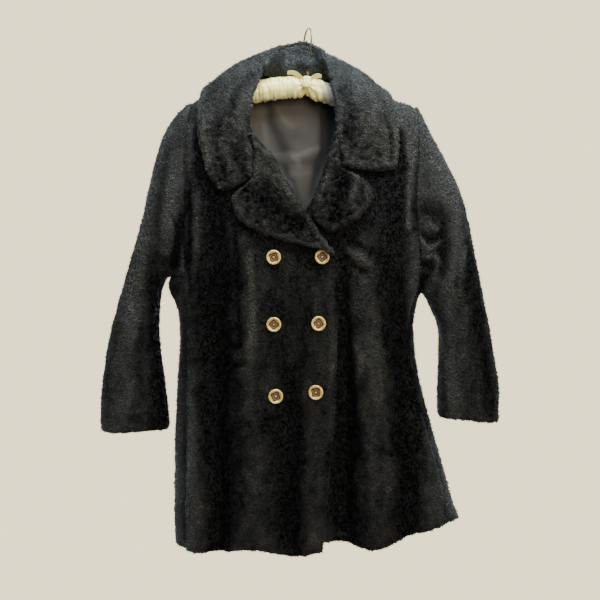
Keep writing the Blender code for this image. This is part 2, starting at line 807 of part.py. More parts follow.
def make_sleeve(name, table, side, bottom, tip_x):
    outwards = math.copysign(1.0, tip_x)
    seam = [point + Vector((outwards * SIDE_SEAM, 0, 0.001)) for point in armhole(side, bottom, tip_x)]
    beside = [point + Vector((outwards * SLEEVE_LEAD, 0, 0)) for point in seam]
    rings = [seam, beside] + [sleeve_ring(row) for row in table]
    return sheet(name, rings, fur_of(name), FUR, closed=True, inwards=outwards < 0)


def lapel_rows(table, roll):
    """Rows across a lapel, lying on the front and raised a little at its roll and its middle."""
    rows = []
    for row in table:
        points = []
        for c in range(LAPEL_COLUMNS + 1):
            share = c / LAPEL_COLUMNS
            x = row.roll_x + (row.edge_x - row.roll_x) * share
            level = row.roll_level + (row.edge_level - row.roll_level) * share
            raised = roll * (1 - share) ** 2 + LAPEL_PUFF * math.sin(math.pi * share) + LAPEL_EDGE * share**2
            points.append(front_point(x, level, FUR + LAY + raised))
        rows.append(points)
    return rows


def make_lapel_right():
    rows = lapel_rows(LAPEL_RIGHT, 0.0015)
    covered = BUTTONS[1]
    for row in rows:
        for point in row:
            near = math.hypot(point.x - covered.x, point.z - covered.level - BUTTON_RADIUS / 2)
            point.y -= (BUTTON_THICK + 2 * BUTTON_SHANK) * math.exp(-((near / (1.5 * BUTTON_RADIUS)) ** 2))
    return sheet("lapel_right", rows, fur_of("lapel_right"), FUR)


def make_lapel_left():
    rows = lapel_rows(LAPEL_LEFT, 0.0010)
    for row in rows:
        for point in row:
            point.y += recess(point.x + LAPEL_LEFT_CLEAR, point.z)
    return sheet("lapel_left", rows, fur_of("lapel_left"), FUR, inwards=True)


def resting(point):
    """The same point, moved out where it would sink into the front or the back."""
    lift = FUR + 2 * LAY
    if point.y <= 0:
        depth = max(-point.y, front_depth(point.x, point.z, lift))
        return Vector((point.x, -depth, point.z))
    depth = max(point.y, back_depth(point.x, point.z, lift))
    return Vector((point.x, depth, point.z))


def collar_point(part, number):
    """A point of the collar's roll line or edge, at a place counted in rows."""
    x, depth, level = (along(COLLAR, f"{part}_{key}", number) for key in ("x", "depth", "level"))
    return Vector((x, -depth, level))


def collar_start(number, step):
    """A point of the curl that turns the collar down into the neck, or flat where it meets a lapel."""
    roll = collar_point("roll", number)
    edge = collar_point("edge", number)
    out = Vector((edge.x - roll.x, edge.y - roll.y, 0)).normalized()
    curl = along(COLLAR, "curl", number)
    angle = math.pi / 2 * step / CURL_STEPS
    curled = roll - out * COLLAR_CURL_WIDTH * math.cos(angle) - Vector((0, 0, curl * (1 - math.sin(angle))))
    flat = roll + (edge - roll).normalized() * FLAT_STEP * step
    return flat.lerp(curled, min(curl / FULL_CURL, 1.0))


def collar_out(number):
    """The way the collar's fall faces."""
    after = min(number + COLLAR_STEP, len(COLLAR) - 1)
    before = max(number - COLLAR_STEP, 0)
    onwards = Vector()
    for part in ("roll", "edge"):
        onwards += collar_point(part, after) - collar_point(part, before)
    return onwards.cross(collar_point("edge", number) - collar_point("roll", number)).normalized()


def collar_row(number):
    """One row across the collar: the curl at its roll line, then its fall, bowed outwards."""
    edge = collar_point("edge", number)
    out = collar_out(number)
    points = [collar_start(number, step) for step in range(CURL_STEPS + 1)]
    last = points[-1]
    for step in range(1, FALL_STEPS + 1):
        share = step / FALL_STEPS
        bow = along(COLLAR, "puff", number) * math.sin(math.pi * share**0.8)
        hang = along(COLLAR, "sag", number) * math.sin(math.pi * share)
        points.append(last.lerp(edge, share) + out * bow - Vector((0, 0, hang)))
    return [resting(point) for point in points]


def make_collar():
    rows = [collar_row(n * COLLAR_STEP) for n in range(int((len(COLLAR) - 1) / COLLAR_STEP) + 1)]
    return sheet("collar", rows, fur_of("collar"), FUR, inwards=True)


def make_collar_stand():
    first = STAND[0].number
    count = round((STAND[-1].number - first) / COLLAR_STEP)
    rows = []
    for n in range(count + 1):
        number = first + n * COLLAR_STEP
        x, depth, level = (read(STAND, "number", key, number) for key in ("x", "depth", "level"))
        top = collar_start(number, 0) - Vector((0, 0, STAND_GAP))
        inwards = (top - collar_start(number, CURL_STEPS)).normalized()
        inset = Vector((inwards.x, inwards.y, 0)) * STAND_INSET
        top += inset
        bottom = Vector((x, -depth, level)) + inset
        rows.append([top.lerp(bottom, step / STAND_STEPS) for step in range(STAND_STEPS + 1)])
    return sheet("collar_stand", rows, fur_of("collar_stand"), STAND_THICK)


def lining_point(x, level):
    """A point inside the back, in front of its inner face."""
    beside = (x - LINING_REACH, x, x + LINING_REACH)
    depth = min(back_depth(near, level) for near in beside) - FUR - LINING_EASE - SATIN
    return Vector((x, depth, level))


def make_back_lining():
    rows = []
    for row in LINING:
        spread = [row.left + (row.right - row.left) * c / LINING_COLUMNS for c in range(LINING_COLUMNS + 1)]
        rows.append([lining_point(x, row.level) for x in spread])
    return sheet("back_lining", rows, lining_of("back_lining"), SATIN)


def button_seat(spot):
    """Where a button's underside sits, clear of the front, and the way it faces."""
    step = BUTTON_RADIUS / 2
    across = front_depth(spot.x + step, spot.level) - front_depth(spot.x - step, spot.level)
    upwards = front_depth(spot.x, spot.level + step) - front_depth(spot.x, spot.level - step)
    face = Vector((-across / (2 * step), -1, -upwards / (2 * step))).normalized()
    centre = front_point(spot.x, spot.level)
    rise = 0.0
    for k in range(16):
        angle = 2 * math.pi * k / 16
        x = spot.x + BUTTON_RADIUS * math.cos(angle)
        level = spot.level + BUTTON_RADIUS * math.sin(angle)
        rise = max(rise, (front_point(x, level) - centre).dot(face))
    return centre + face * (rise + BUTTON_SHANK), face


def make_button(number, spot):
    """A button turned from its profile."""
    name = f"button_{number}"
    profile = bpy.data.meshes.new(name)
    points = [(radius, 0, height) for radius, height in BUTTON_PROFILE]
    profile.from_pydata(points, [(n, n + 1) for n in range(len(points) - 1)], [])
    button = add_piece(name, profile, resin_of(name))
    turn = button.modifiers.new("turn", "SCREW")
    turn.axis = "Z"
    turn.steps = turn.render_steps = BUTTON_SIDES
    turn.use_merge_vertices = True
    turn.merge_threshold = 0.0001
    button.location, face = button_seat(spot)
    button.rotation_mode = "QUATERNION"
    button.rotation_quaternion = face.to_track_quat("Z", "Y")
    return button


def make_hanger_pad():
    """The padded arms: ovals from tip to tip."""
    grid = bmesh.new()
    rings = []
    for section in PAD:
        ring = []
        for step in range(PAD_SIDES):
            angle = 2 * math.pi * step / PAD_SIDES
            y = section.half_thick * math.cos(angle)
            z = section.level + section.half_height * math.sin(angle)
            ring.append(grid.verts.new((section.x, y, z)))
        rings.append(ring)
    for ring, after in zip(rings, rings[1:]):
        for step in range(PAD_SIDES):
            side = (step + 1) % PAD_SIDES
            grid.faces.new((ring[step], ring[side], after[side], after[step]))
    grid.faces.new(rings[0][::-1])
    grid.faces.new(rings[-1])
    mesh = bpy.data.meshes.new("hanger_pad")
    bmesh.ops.recalc_face_normals(grid, faces=grid.faces)
    grid.to_mesh(mesh)
    grid.free()
    mesh.shade_smooth()
    return add_piece("hanger_pad", mesh, satin_of("hanger_pad"))


def bent(corners, t):
    """A point of the curve through the first and last corner, pulled towards the two between."""
    shares = ((1 - t) ** 3, 3 * t * (1 - t) ** 2, 3 * t * t * (1 - t), t**3)
    return sum((corner * share for corner, share in zip(corners, shares)), Vector((0, 0)))


def hook_points():
    """The wire's middle line: up the stem, out to the front and over to the back."""
    centre = Vector((0, WIRE - HOOK_RADIUS))
    bend = Vector((0, STEM_BEND))
    start = centre + HOOK_RADIUS * Vector((math.cos(HOOK_START), math.sin(HOOK_START)))
    pull = HOOK_PULL * (start.y - bend.y)
    way = Vector((math.sin(HOOK_START), -math.cos(HOOK_START)))
    corners = (bend, bend + Vector((0, pull)), start - way * pull, start)
    points = [Vector((0, STEM_FOOT))]
    points += [bent(corners, step / BEND_STEPS) for step in range(BEND_STEPS + 1)]
    for step in range(1, ARCH_STEPS + 1):
        angle = HOOK_START + (HOOK_END - HOOK_START) * step / ARCH_STEPS
        points.append(centre + HOOK_RADIUS * Vector((math.cos(angle), math.sin(angle))))
    turn = Vector((math.cos(HOOK_TURN), math.sin(HOOK_TURN)))
    return [(*(turn * point.x), point.y) for point in points]


def make_hanger_hook():
    wire = bpy.data.curves.new("hanger_hook", "CURVE")
    wire.dimensions = "3D"
    wire.bevel_depth = WIRE
    wire.bevel_resolution = 2
    wire.use_fill_caps = True
    points = hook_points()
    line = wire.splines.new("POLY")
    line.points.add(len(points) - 1)
    for spot, point in zip(line.points, points):
        spot.co = (*point, 1)
    return add_piece("hanger_hook", wire, wire_of("hanger_hook"))


def make_bow():
    """Two loops and a knot of ribbon at the foot of the hook, each as the soft lump it fills."""
    made = []
    for lump in BOW:
        bpy.ops.mesh.primitive_uv_sphere_add(segments=14, ring_count=8, radius=1.0)
        ball = bpy.context.object
        ball.name = lump.name
        for vertex in ball.data.vertices:
            vertex.co.x *= lump.half_wide
            vertex.co.y *= lump.half_thick
            vertex.co.z *= lump.half_high
        ball.location = (lump.x, -lump.depth, lump.level)
        ball.rotation_euler.y = lump.tilt
        ball.data.materials.append(satin_of(lump.name))
        for holder in list(ball.users_collection):
            holder.objects.unlink(ball)
        bpy.data.collections[COLLECTION].objects.link(ball)
        made.append(ball)
    return made


def main():
    for old in list(bpy.data.objects):
        bpy.data.objects.remove(old, do_unlink=True)
    coat = bpy.data.collections.new(COLLECTION)
    bpy.context.scene.collection.children.link(coat)
    make_back()
    make_front_right()
    make_front_left()
    make_lapel_right()
    make_lapel_left()
    make_collar()
    make_collar_stand()
    make_sleeve("sleeve_right", SLEEVE_RIGHT, "left", UNDERARM_RIGHT, TIP_RIGHT)
    make_sleeve("sleeve_left", SLEEVE_LEFT, "right", UNDERARM_LEFT, TIP_LEFT)
    make_back_lining()
    for number, spot in enumerate(BUTTONS):
        make_button(number + 1, spot)
    make_hanger_pad()
    make_bow()
    make_hanger_hook()


main()
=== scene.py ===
"""A black faux fur coat on a satin padded hanger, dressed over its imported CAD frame.

Every cloth piece starts as the outer side of its CAD wall, is subdivided, gets its folds and creases,
and is given its wall again with Solidify. Short tufts stand on it as a piece of their own.
"""

import math

import bmesh
import bpy
import numpy as np
from mathutils import Matrix, Vector, noise


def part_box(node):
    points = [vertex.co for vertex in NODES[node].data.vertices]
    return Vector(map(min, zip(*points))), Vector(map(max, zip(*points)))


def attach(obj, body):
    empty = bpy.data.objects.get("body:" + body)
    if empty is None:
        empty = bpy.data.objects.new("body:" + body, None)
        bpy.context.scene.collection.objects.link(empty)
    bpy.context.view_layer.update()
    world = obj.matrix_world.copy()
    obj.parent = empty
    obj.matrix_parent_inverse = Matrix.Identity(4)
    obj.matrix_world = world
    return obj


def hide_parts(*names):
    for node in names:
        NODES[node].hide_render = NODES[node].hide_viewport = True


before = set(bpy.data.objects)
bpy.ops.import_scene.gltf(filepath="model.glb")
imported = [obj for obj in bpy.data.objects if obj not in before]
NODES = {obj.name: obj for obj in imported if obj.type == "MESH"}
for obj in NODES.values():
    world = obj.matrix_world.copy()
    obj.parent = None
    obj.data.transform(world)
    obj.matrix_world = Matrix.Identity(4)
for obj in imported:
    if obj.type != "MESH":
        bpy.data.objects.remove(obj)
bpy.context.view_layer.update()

MM = 0.001
FRONT, BACK = (0, -1, 0), (0, 1, 0)


# ---------------- numbers


def bell(values, middle, width):
    """1 at the middle, fading over the width to both sides."""
    return np.exp(-(((values - middle) / width) ** 2))


def rise(values, start, over):
    """0 up to the start, and then up to 1 over a length."""
    return ((values - start) / over).clip(0, 1)


def unit(rows):
    return rows / np.maximum(np.linalg.norm(rows, axis=1, keepdims=True), 1e-12)


def noises(rows):
    """Smooth noise from -1 to 1 at each row of three numbers."""
    return np.array([noise.noise(Vector(row)) for row in rows])


def field(points, scale, seed, stretch=1.0):
    """Smooth noise from -1 to 1 at points, in lumps of about scale metres, stretched upwards."""
    size = np.array([scale, scale, scale * stretch])
    return noises(points / size + seed * 7.31)


def fields(points, scale, seed, stretch=1.0):
    """Three of them side by side, as vectors."""
    return np.stack([field(points, scale, seed + k, stretch) for k in range(3)], axis=1)


# ---------------- meshes

WELD = 0.01 * MM
SIDE_FACES = 0.8  # least cosine between a first face's normal and its side's direction
SKIN_BEND = math.radians(62)  # a wall's rim turns more sharply than this
PAIR_BEND, PAIR_SKEW = 0.9, 1.3  # the most, in radians, where two triangles become one face
LONGEST_EDGE = 8.0 * MM
COARSE = 2.6  # how many times longer an edge may be where little is seen


def placed(name, data):
    obj = bpy.data.objects.new(name, data)
    bpy.context.scene.collection.objects.link(obj)
    return obj


def modified(obj, name, kind, **settings):
    """Add a modifier with its settings."""
    modifier = obj.modifiers.new(name, kind)
    for key, value in settings.items():
        setattr(modifier, key, value)
    return modifier


def applied(obj):
    """The object's mesh with its modifiers, in place of the object."""
    bpy.context.view_layer.update()
    depsgraph = bpy.context.evaluated_depsgraph_get()
    mesh = bpy.data.meshes.new_from_object(obj.evaluated_get(depsgraph))
    bpy.data.objects.remove(obj)
    return mesh


def smoothed(mesh, levels, **settings):
    """The mesh subdivided."""
    cage = placed("cage", mesh)
    modified(cage, "soft", "SUBSURF", levels=levels, render_levels=levels, **settings)
    return applied(cage)


def show(name, mesh, replaced=()):
    """An object for a finished mesh, riding on the part and standing for its CAD nodes."""
    obj = placed(name, mesh)
    mesh.shade_smooth()
    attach(obj, "root")
    if replaced:
        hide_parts(*replaced)
    return obj


def dressed(mesh, *materials):
    """Give a mesh its materials. Its faces all start with the first one."""
    mesh.materials.clear()
    for material in materials:
        mesh.materials.append(material)


def opened(mesh):
    bm = bmesh.new()
    bm.from_mesh(mesh)
    bm.verts.ensure_lookup_table()
    return bm


def closed(bm, mesh):
    bm.to_mesh(mesh)
    bm.free()
    return mesh


def outer_skin(name, facing, keep=None):
    """One side of a node's wall, grown from the face that lies furthest towards facing, where keep allows."""
    bm = opened(NODES[name].data)
    bmesh.ops.remove_doubles(bm, verts=bm.verts, dist=WELD)
    bm.normal_update()
    facing = Vector(facing)
    able = [f for f in bm.faces if f.normal.dot(facing) > SIDE_FACES]
    if keep:
        able = [f for f in able if keep(f.calc_center_median())]
    start = max(able, key=lambda f: f.calc_center_median().dot(facing))
    skin = {start}
    front = [start]
    while front:
        face = front.pop()
        for edge in face.edges:
            for other in edge.link_faces:
                if other not in skin and face.normal.angle(other.normal) < SKIN_BEND:
                    skin.add(other)
                    front.append(other)
    bmesh.ops.delete(bm, geom=[f for f in bm.faces if f not in skin], context="FACES")
    bmesh.ops.join_triangles(
        bm, faces=bm.faces, angle_face_threshold=PAIR_BEND, angle_shape_threshold=PAIR_SKEW
    )
    return closed(bm, bpy.data.meshes.new(name))


def refined(mesh, longest=LONGEST_EDGE, levels=2, fine_above=-math.inf):
    """The same surface, smoothed by subdivision and cut until no edge is long. Below the height fine_above,
    edges may be up to COARSE times as long."""
    made = smoothed(mesh, levels, boundary_smooth="PRESERVE_CORNERS")
    bm = opened(made)
    for _ in range(3):
        long = [
            e for e in bm.edges
            if e.calc_length() > longest * (1 if e.verts[0].co.z > fine_above else COARSE)
        ]
        if not long:
            break
        bmesh.ops.subdivide_edges(bm, edges=long, cuts=1, use_grid_fill=True, smooth=0.0)
    return closed(bm, made)


def read(mesh, what):
    found = np.empty(len(mesh.vertices) * 3)
    mesh.vertices.foreach_get(what, found)
    return found.reshape(-1, 3)


def places(mesh):
    return read(mesh, "co")


def normals(mesh):
    return read(mesh, "normal")


def move(mesh, points):
    mesh.vertices.foreach_set("co", np.ascontiguousarray(points, float).ravel())
    mesh.update()


def raised(mesh, height):
    """Move each vertex out along its normal by its height."""
    move(mesh, places(mesh) + normals(mesh) * np.reshape(height, (-1, 1)))


def painted(mesh, layer, amounts):
    """Store red, green and blue at each vertex in a colour attribute."""
    colours = np.column_stack([amounts, np.ones(len(amounts))])
    mesh.color_attributes.new(layer, "FLOAT_COLOR", "POINT").data.foreach_set("color", colours.ravel())


# ---------------- a sheet's edge

NIBBLE, NIBBLE_SIZE = 1.8 * MM, 7 * MM  # how uneven a pile's outline is
HANGING = -0.75  # an edge that points down more than this hangs free


def rim_distance(mesh, reach):
    """For each vertex, how far it is from the sheet's edge along the mesh, up to reach."""
    bm = opened(mesh)
    far = np.full(len(bm.verts), reach)
    front = [v.index for v in bm.verts if v.is_boundary]
    far[front] = 0.0
    while front:
        coming = set()
        for index in front:
            vert = bm.verts[index]
            for edge in vert.link_edges:
                other = edge.other_vert(vert)
                length = far[index] + edge.calc_length()
                if length < far[other.index] - 1e-7:
                    far[other.index] = length
                    coming.add(other.index)
        front = list(coming)
    bm.free()
    return far


def edge_way(edge):
    """The direction in a sheet's surface that points off the sheet at a boundary edge."""
    face = edge.link_faces[0]
    a, b = (v.co for v in edge.verts)
    way = (b - a).cross(face.normal)
    if way.dot((a + b) / 2 - face.calc_center_median()) < 0:
        way = -way
    return way.normalized()


def rim_rows(mesh):
    """For each boundary edge: its two ends, the way off the sheet, its face's normal and its two vertices."""
    bm = opened(mesh)
    rows = []
    for edge in bm.edges:
        if edge.is_boundary:
            a, b = edge.verts
            rows.append((*a.co, *b.co, *edge_way(edge), *edge.link_faces[0].normal, a.index, b.index))
    bm.free()
    return np.split(np.array(rows).reshape(-1, 14), [3, 6, 9, 12], axis=1)


def spread_rim(mesh, seam, hem):
    """Move a sheet's edge outwards in its own surface, by seam to meet its neighbour over the seam's gap, or
    by hem where the edge hangs free at the bottom, and a little unevenly, as a pile's outline is."""
    bm = opened(mesh)
    ways = {}
    for edge in bm.edges:
        if edge.is_boundary:
            for vert in edge.verts:
                ways[vert.index] = ways.get(vert.index, Vector()) + edge_way(edge)
    for index, way in ways.items():
        if way.length > 1e-6:
            way = way.normalized()
            spot = bm.verts[index].co
            uneven = NIBBLE * noise.noise(spot / NIBBLE_SIZE)
            spot += way * (uneven + (hem if way.z < HANGING else seam))
    closed(bm, mesh)


# ---------------- folds

NARROW = 10  # mm, the width below which a line is a crease
CREASE_FADE = 14 * MM
ROLL_REACH = 16 * MM
ROLL_EDGE = 0.3  # the share of the reach where a rolled edge turns in


def along_line(points, line):
    """For points seen from the front: their distance to a line of (x, z, ...) rows, and its values there."""
    line = np.array(line, float)
    best = np.full(len(points), 1e9)
    values = np.zeros((len(points), line.shape[1] - 2))
    for a, b in zip(line, line[1:]):
        way = b[:2] - a[:2]
        t = np.clip(((points - a[:2]) @ way) / max(way @ way, 1e-12), 0, 1)
        apart = np.linalg.norm(points - (a[:2] + t[:, None] * way), axis=1)
        near = apart < best
        best[near] = apart[near]
        values[near] = (a[2:] + t[:, None] * (b[2:] - a[2:]))[near]
    return best, values


def pressed(points, lines, column):
    """The sum of the lines' depths (column 0) or tones (column 2) at points, each fading over its width."""
    flat = points[:, [0, 2]] / MM
    total = np.zeros(len(points))
    for line in lines:
        apart, values = along_line(flat, line)
        total += values[:, column] * bell(apart, 0, values[:, 1])
    return total


def by_width(lines):
    """The lines as two lists: broad folds and narrow creases."""
    return [r for r in lines if r[0][3] >= NARROW], [r for r in lines if r[0][3] < NARROW]


def fold(mesh, lines):
    """Press folds and creases into a sheet. Creases fade out near its edges, so that the seams stay shut."""
    broad, narrow = (pressed(places(mesh), some, 0) for some in by_width(lines))
    inside = (rim_distance(mesh, CREASE_FADE) / CREASE_FADE) ** 2
    raised(mesh, (broad + narrow * inside) * MM)


def ruffled(mesh, amount, scale, seed, stretch):
    raised(mesh, amount * field(places(mesh), scale, seed, stretch))


def rolled_rim(mesh, height, drop):
    """Raise a soft roll just inside a sheet's edge, and turn the edge itself in."""
    far = rim_distance(mesh, ROLL_REACH) / ROLL_REACH
    lift = height * np.sin(np.pi * far.clip(0, 1)) ** 2 - drop * (1 - far / ROLL_EDGE).clip(0, 1) ** 2
    raised(mesh, lift)


# ---------------- materials


def principled(name, **values):
    made = bpy.data.materials.new(name)
    made.use_nodes = True
    shader = made.node_tree.nodes["Principled BSDF"]
    for key, value in values.items():
        shader.inputs[key.replace("_", " ")].default_value = value
    return made, made.node_tree, shader


def feed(tree, target, source):
    """Link an output to the target input, or set the input to a plain value."""
    if isinstance(source, bpy.types.NodeSocket):
        tree.links.new(source, target)
    else:
        target.default_value = source


def node(tree, kind, *sources, **values):
    """A node with its settings, its named inputs, and its first inputs fed by the sources in order."""
    made = tree.nodes.new(kind)
    for key, value in values.items():
        target = made.inputs.get(key.replace("_", " "))
        if target is None:
            setattr(made, key, value)
        else:
            feed(tree, target, value)
    for place, source in enumerate(sources):
        feed(tree, made.inputs[place], source)
    return made


def grain(tree, scale, detail, rough, stretch=(1, 1, 1)):
    """Noise over the object's own space, from 0 to 1."""
    place = node(tree, "ShaderNodeTexCoord").outputs["Object"]
    mapped = node(tree, "ShaderNodeMapping", Vector=place, Scale=stretch).outputs["Vector"]
    made = node(tree, "ShaderNodeTexNoise", Vector=mapped, Scale=scale, Detail=detail, Roughness=rough)
    return made.outputs["Fac"]


def ramp(tree, source, stops):
    """Colours between stops, each a place from 0 to 1 and a colour."""
    made = node(tree, "ShaderNodeValToRGB", source)
    while len(made.color_ramp.elements) < len(stops):
        made.color_ramp.elements.new(0.5)
    for element, (place, colour) in zip(made.color_ramp.elements, stops):
        element.position = place
        element.color = (*colour, 1)
    return made.outputs["Color"]


def coloured(tree, shader, source, stops):
    tree.links.new(ramp(tree, source, stops), shader.inputs["Base Color"])


def roughened(tree, shader, source, low, high):
    """Roughness that goes from one value to the other with the noise."""
    tone = ramp(tree, source, [(0.3, (low,) * 3), (0.7, (high,) * 3)])
    tree.links.new(tone, shader.inputs["Roughness"])


def bump(tree, shader, height, strength, distance, under=None):
    made = node(tree, "ShaderNodeBump", Height=height, Strength=strength, Distance=distance)
    if under is not None:
        tree.links.new(under, made.inputs["Normal"])
    tree.links.new(made.outputs["Normal"], shader.inputs["Normal"])
    return made.outputs["Normal"]


def fur_ground():
    """The dense pile between the tufts, in the painted light and shade and the tone that its colour attribute
    gives it.
    """
    made, tree, shader = principled(
        "fur_ground", Sheen_Weight=0.05, Sheen_Roughness=0.4, Sheen_Tint=(0.6, 0.62, 0.7, 1),
        Specular_IOR_Level=0.12,
    )
    patch = grain(tree, 160, 4, 0.62, (1, 1, 0.6))
    light_and_tone = node(tree, "ShaderNodeVertexColor", layer_name="light_and_tone").outputs["Color"]
    tone = node(tree, "ShaderNodeMath", patch, 0.5, light_and_tone, operation="MULTIPLY_ADD").outputs[0]
    coloured(tree, shader, tone, [
        (0.25, (0.0008, 0.0007, 0.0006)),
        (0.55, (0.0038, 0.0034, 0.0026)),
        (0.85, (0.0104, 0.0094, 0.0073)),
        (1.0, (0.0165, 0.0150, 0.0118)),
    ])
    roughened(tree, shader, patch, 0.75, 0.55)
    lumps = bump(tree, shader, grain(tree, 240, 2, 0.5), 0.9, 2.0 * MM)
    bump(tree, shader, grain(tree, 900, 2, 0.6), 0.6, 0.8 * MM, lumps)
    return made


def fur_tuft(name, colour, sheen, rough, gloss):
    """One tone of pile, shaded partly like the cloth it stands on, through the attribute "stands_on"."""
    made, tree, shader = principled(
        name, Base_Color=(*colour, 1), Sheen_Weight=sheen, Sheen_Roughness=0.35,
        Sheen_Tint=(0.7, 0.72, 0.8, 1), Specular_IOR_Level=gloss,
    )
    roughened(tree, shader, grain(tree, 500, 2, 0.5), rough - 0.1, rough + 0.1)
    cloth = node(tree, "ShaderNodeAttribute", attribute_name="stands_on").outputs["Vector"]
    own = node(tree, "ShaderNodeNewGeometry").outputs["Normal"]
    both = node(tree, "ShaderNodeVectorMath", own, cloth).outputs[0]
    even = node(tree, "ShaderNodeVectorMath", both, operation="NORMALIZE").outputs[0]
    tree.links.new(even, shader.inputs["Normal"])
    return made


def with_painted_shade(tree, shader, colour):
    """The colour, less the painted shade that the attribute "turned" holds, where the satin turns from the
    light or lies in shadow.
    """
    turned = node(tree, "ShaderNodeVertexColor", layer_name="turned").outputs["Color"]
    left = node(tree, "ShaderNodeVectorMath", (1, 1, 1), turned, operation="SUBTRACT").outputs[0]
    shaded = node(tree, "ShaderNodeVectorMath", colour, left, operation="MULTIPLY").outputs[0]
    tree.links.new(shaded, shader.inputs["Base Color"])


def lining_satin():
    made, tree, shader = principled("lining_satin", Sheen_Weight=0.02, Specular_IOR_Level=0.2)
    cloud = grain(tree, 14, 3, 0.5, (1, 1, 0.4))
    with_painted_shade(tree, shader, ramp(tree, cloud, [(0.3, (0.051, 0.042, 0.0335)), (0.7, (0.073, 0.061, 0.0505))]))
    roughened(tree, shader, cloud, 0.36, 0.5)
    bump(tree, shader, grain(tree, 1500, 1, 0.5, (1, 1, 0.1)), 0.15, 0.2 * MM)
    return made


def ivory_satin():
    made, tree, shader = principled(
        "ivory_satin", Sheen_Weight=0.05, Sheen_Roughness=0.4, Specular_IOR_Level=0.9
    )
    cloud = grain(tree, 26, 3, 0.55)
    with_painted_shade(tree, shader, ramp(tree, cloud, [(0.3, (0.93, 0.77, 0.24)), (0.7, (1.0, 0.89, 0.31))]))
    roughened(tree, shader, cloud, 0.24, 0.36)
    bump(tree, shader, grain(tree, 1400, 1, 0.5, (1, 1, 0.15)), 0.2, 0.2 * MM)
    return made


def metal(name, dark, light, rough, share):
    made, tree, shader = principled(name, Metallic=share, Specular_IOR_Level=0.6)
    wear = grain(tree, 320, 3, 0.6)
    coloured(tree, shader, wear, [(0.35, dark), (0.65, light)])
    roughened(tree, shader, wear, rough - 0.08, rough + 0.1)
    bump(tree, shader, wear, 0.15, 0.3 * MM)
    return made


def resin(name, dark, light):
    made, tree, shader = principled(name, Specular_IOR_Level=0.2, Coat_Weight=0.06, Coat_Roughness=0.2)
    cloud = grain(tree, 420, 3, 0.6)
    coloured(tree, shader, cloud, [(0.35, dark), (0.65, light)])
    roughened(tree, shader, cloud, 0.3, 0.45)
    return made


# Each tone of pile: its colour, sheen, roughness and gloss, from dark to light. Painted light and shade and
# random lumps choose among them.
TUFT_TONES = {
    "deep": ((0.0004, 0.0004, 0.0003), 0.0, 0.62, 0.02),
    "black": ((0.0020, 0.0018, 0.0014), 0.02, 0.6, 0.07),
    "soft_black": ((0.0053, 0.0047, 0.0036), 0.05, 0.58, 0.14),
    "dark_grey": ((0.0098, 0.0088, 0.0068), 0.09, 0.56, 0.19),
    "grey": ((0.0165, 0.0150, 0.0118), 0.15, 0.54, 0.24),
    "tip": ((0.0275, 0.0252, 0.0202), 0.22, 0.52, 0.28),
    "bloom": ((0.0450, 0.0420, 0.0345), 0.30, 0.50, 0.32),
}
TONE_STEPS = [-1.3, -0.75, -0.2, 0.4, 1.1, 1.9]


def palette(name, tint):
    """The tones of pile with their red, green and blue multiplied by the tint."""
    made = []
    for tone, (colour, *look) in TUFT_TONES.items():
        made.append(fur_tuft(name + tone, tuple(k * t for k, t in zip(colour, tint)), *look))
    return made


GROUND = fur_ground()
LINING = lining_satin()
# The cool palette is the pile as cool light shows it, and the nape's lighter, bluer one lifts the neck out of
# its shade: both are painted light.
WARM_TUFTS = palette("fur_", (1, 1, 1))
COOL_TUFTS = palette("cool_fur_", (0.97, 1.07, 1.3))
NAPE_TUFTS = palette("nape_fur_", (1.2, 1.45, 1.95))


# ---------------- tufts

TUFT_LONG, TUFT_LENGTHS = 4.8 * MM, (0.6, 1.2)
TUFT_WIDE, TUFT_WIDTHS = 2.3 * MM, (0.7, 1.2)
TUFT_ROOT = 0.6 * MM  # how deep a tuft is set in the cloth
TUFT_CORNERS = (0, 2.0944, 4.1888)  # three even turns, in radians
TUFT_UP, TUFT_LYING = 0.55, 0.95  # how much it stands off the cloth, and lies along its lean
NAP_WAY = np.array([0, 0, -0.5])
PATCH, SWIRL, CLUMP = 40 * MM, 13 * MM, 6 * MM  # sizes of the lumps that lean or grow together
PATCH_LEAN, SWIRL_LEAN, OWN_LEAN = 1.5, 1.3, 0.45
CLUMP_GROWTH = 0.5
BEHIND = 0.35  # what faces back more than this is behind
THIN_BEHIND, WIDE_BEHIND = 0.6, 1.25  # behind, this share of the tufts is kept, each this much wider
RIM_REACH = 25 * MM
RIM_SPACING = 0.65 * MM
RIM_LONG = 0.85  # the rim's tufts are this much as long
RIM_OUT, RIM_TURN = 0.9, 1.2  # how far the rim's pile leans out at the face, and turns in through the wall
SLEEK, CURLY = 1.4, 0.45  # how much a tuft is shaded like the cloth under it, at the top and further down
SLEEK_RISE = (-0.19, 0.11)  # the height where the one turns into the other, and over what length

# Tones are in steps of TONE_STEPS, and carry painted light and shade: darker in the folds' valleys and in
# painted shadows, lighter on ridges, near rolled edges, on raised curls and high up, with random lumps on
# top. Each own part is random, from tuft to tuft.
PILE_TONE = -0.78
BROAD_TONE, CREASE_TONE, CURL_TONE = 1.5, 2.1, 1.1
# Painted light from above: the pile is drawn lighter from the chest up to the shoulders.
TOP_TONE, TOP_RISE = 1.8, (-0.42, 0.32)  # what the tone gains from the chest up to the shoulders
TONE_LUMPS = [(1.15, 24 * MM, 30, 2.8), (0.85, 12 * MM, 35, 1.9)]  # each one's share, size, seed and stretch
FINE_TONE, OWN_TONE = 0.6, 0.12
FINE_SIZE = 5 * MM
RAGGED, RAGGED_SIZE = 6 * MM, 9 * MM  # how uneven the lumps' outlines are
# Where the tufts turn to the cool palette, painted cool light high up and at the sides:
COOL_HIGH, COOL_ASIDE = (-220, 100), (184.5, 15)  # where cool tufts begin, and over what length, in mm
MIDDLE_X = -5


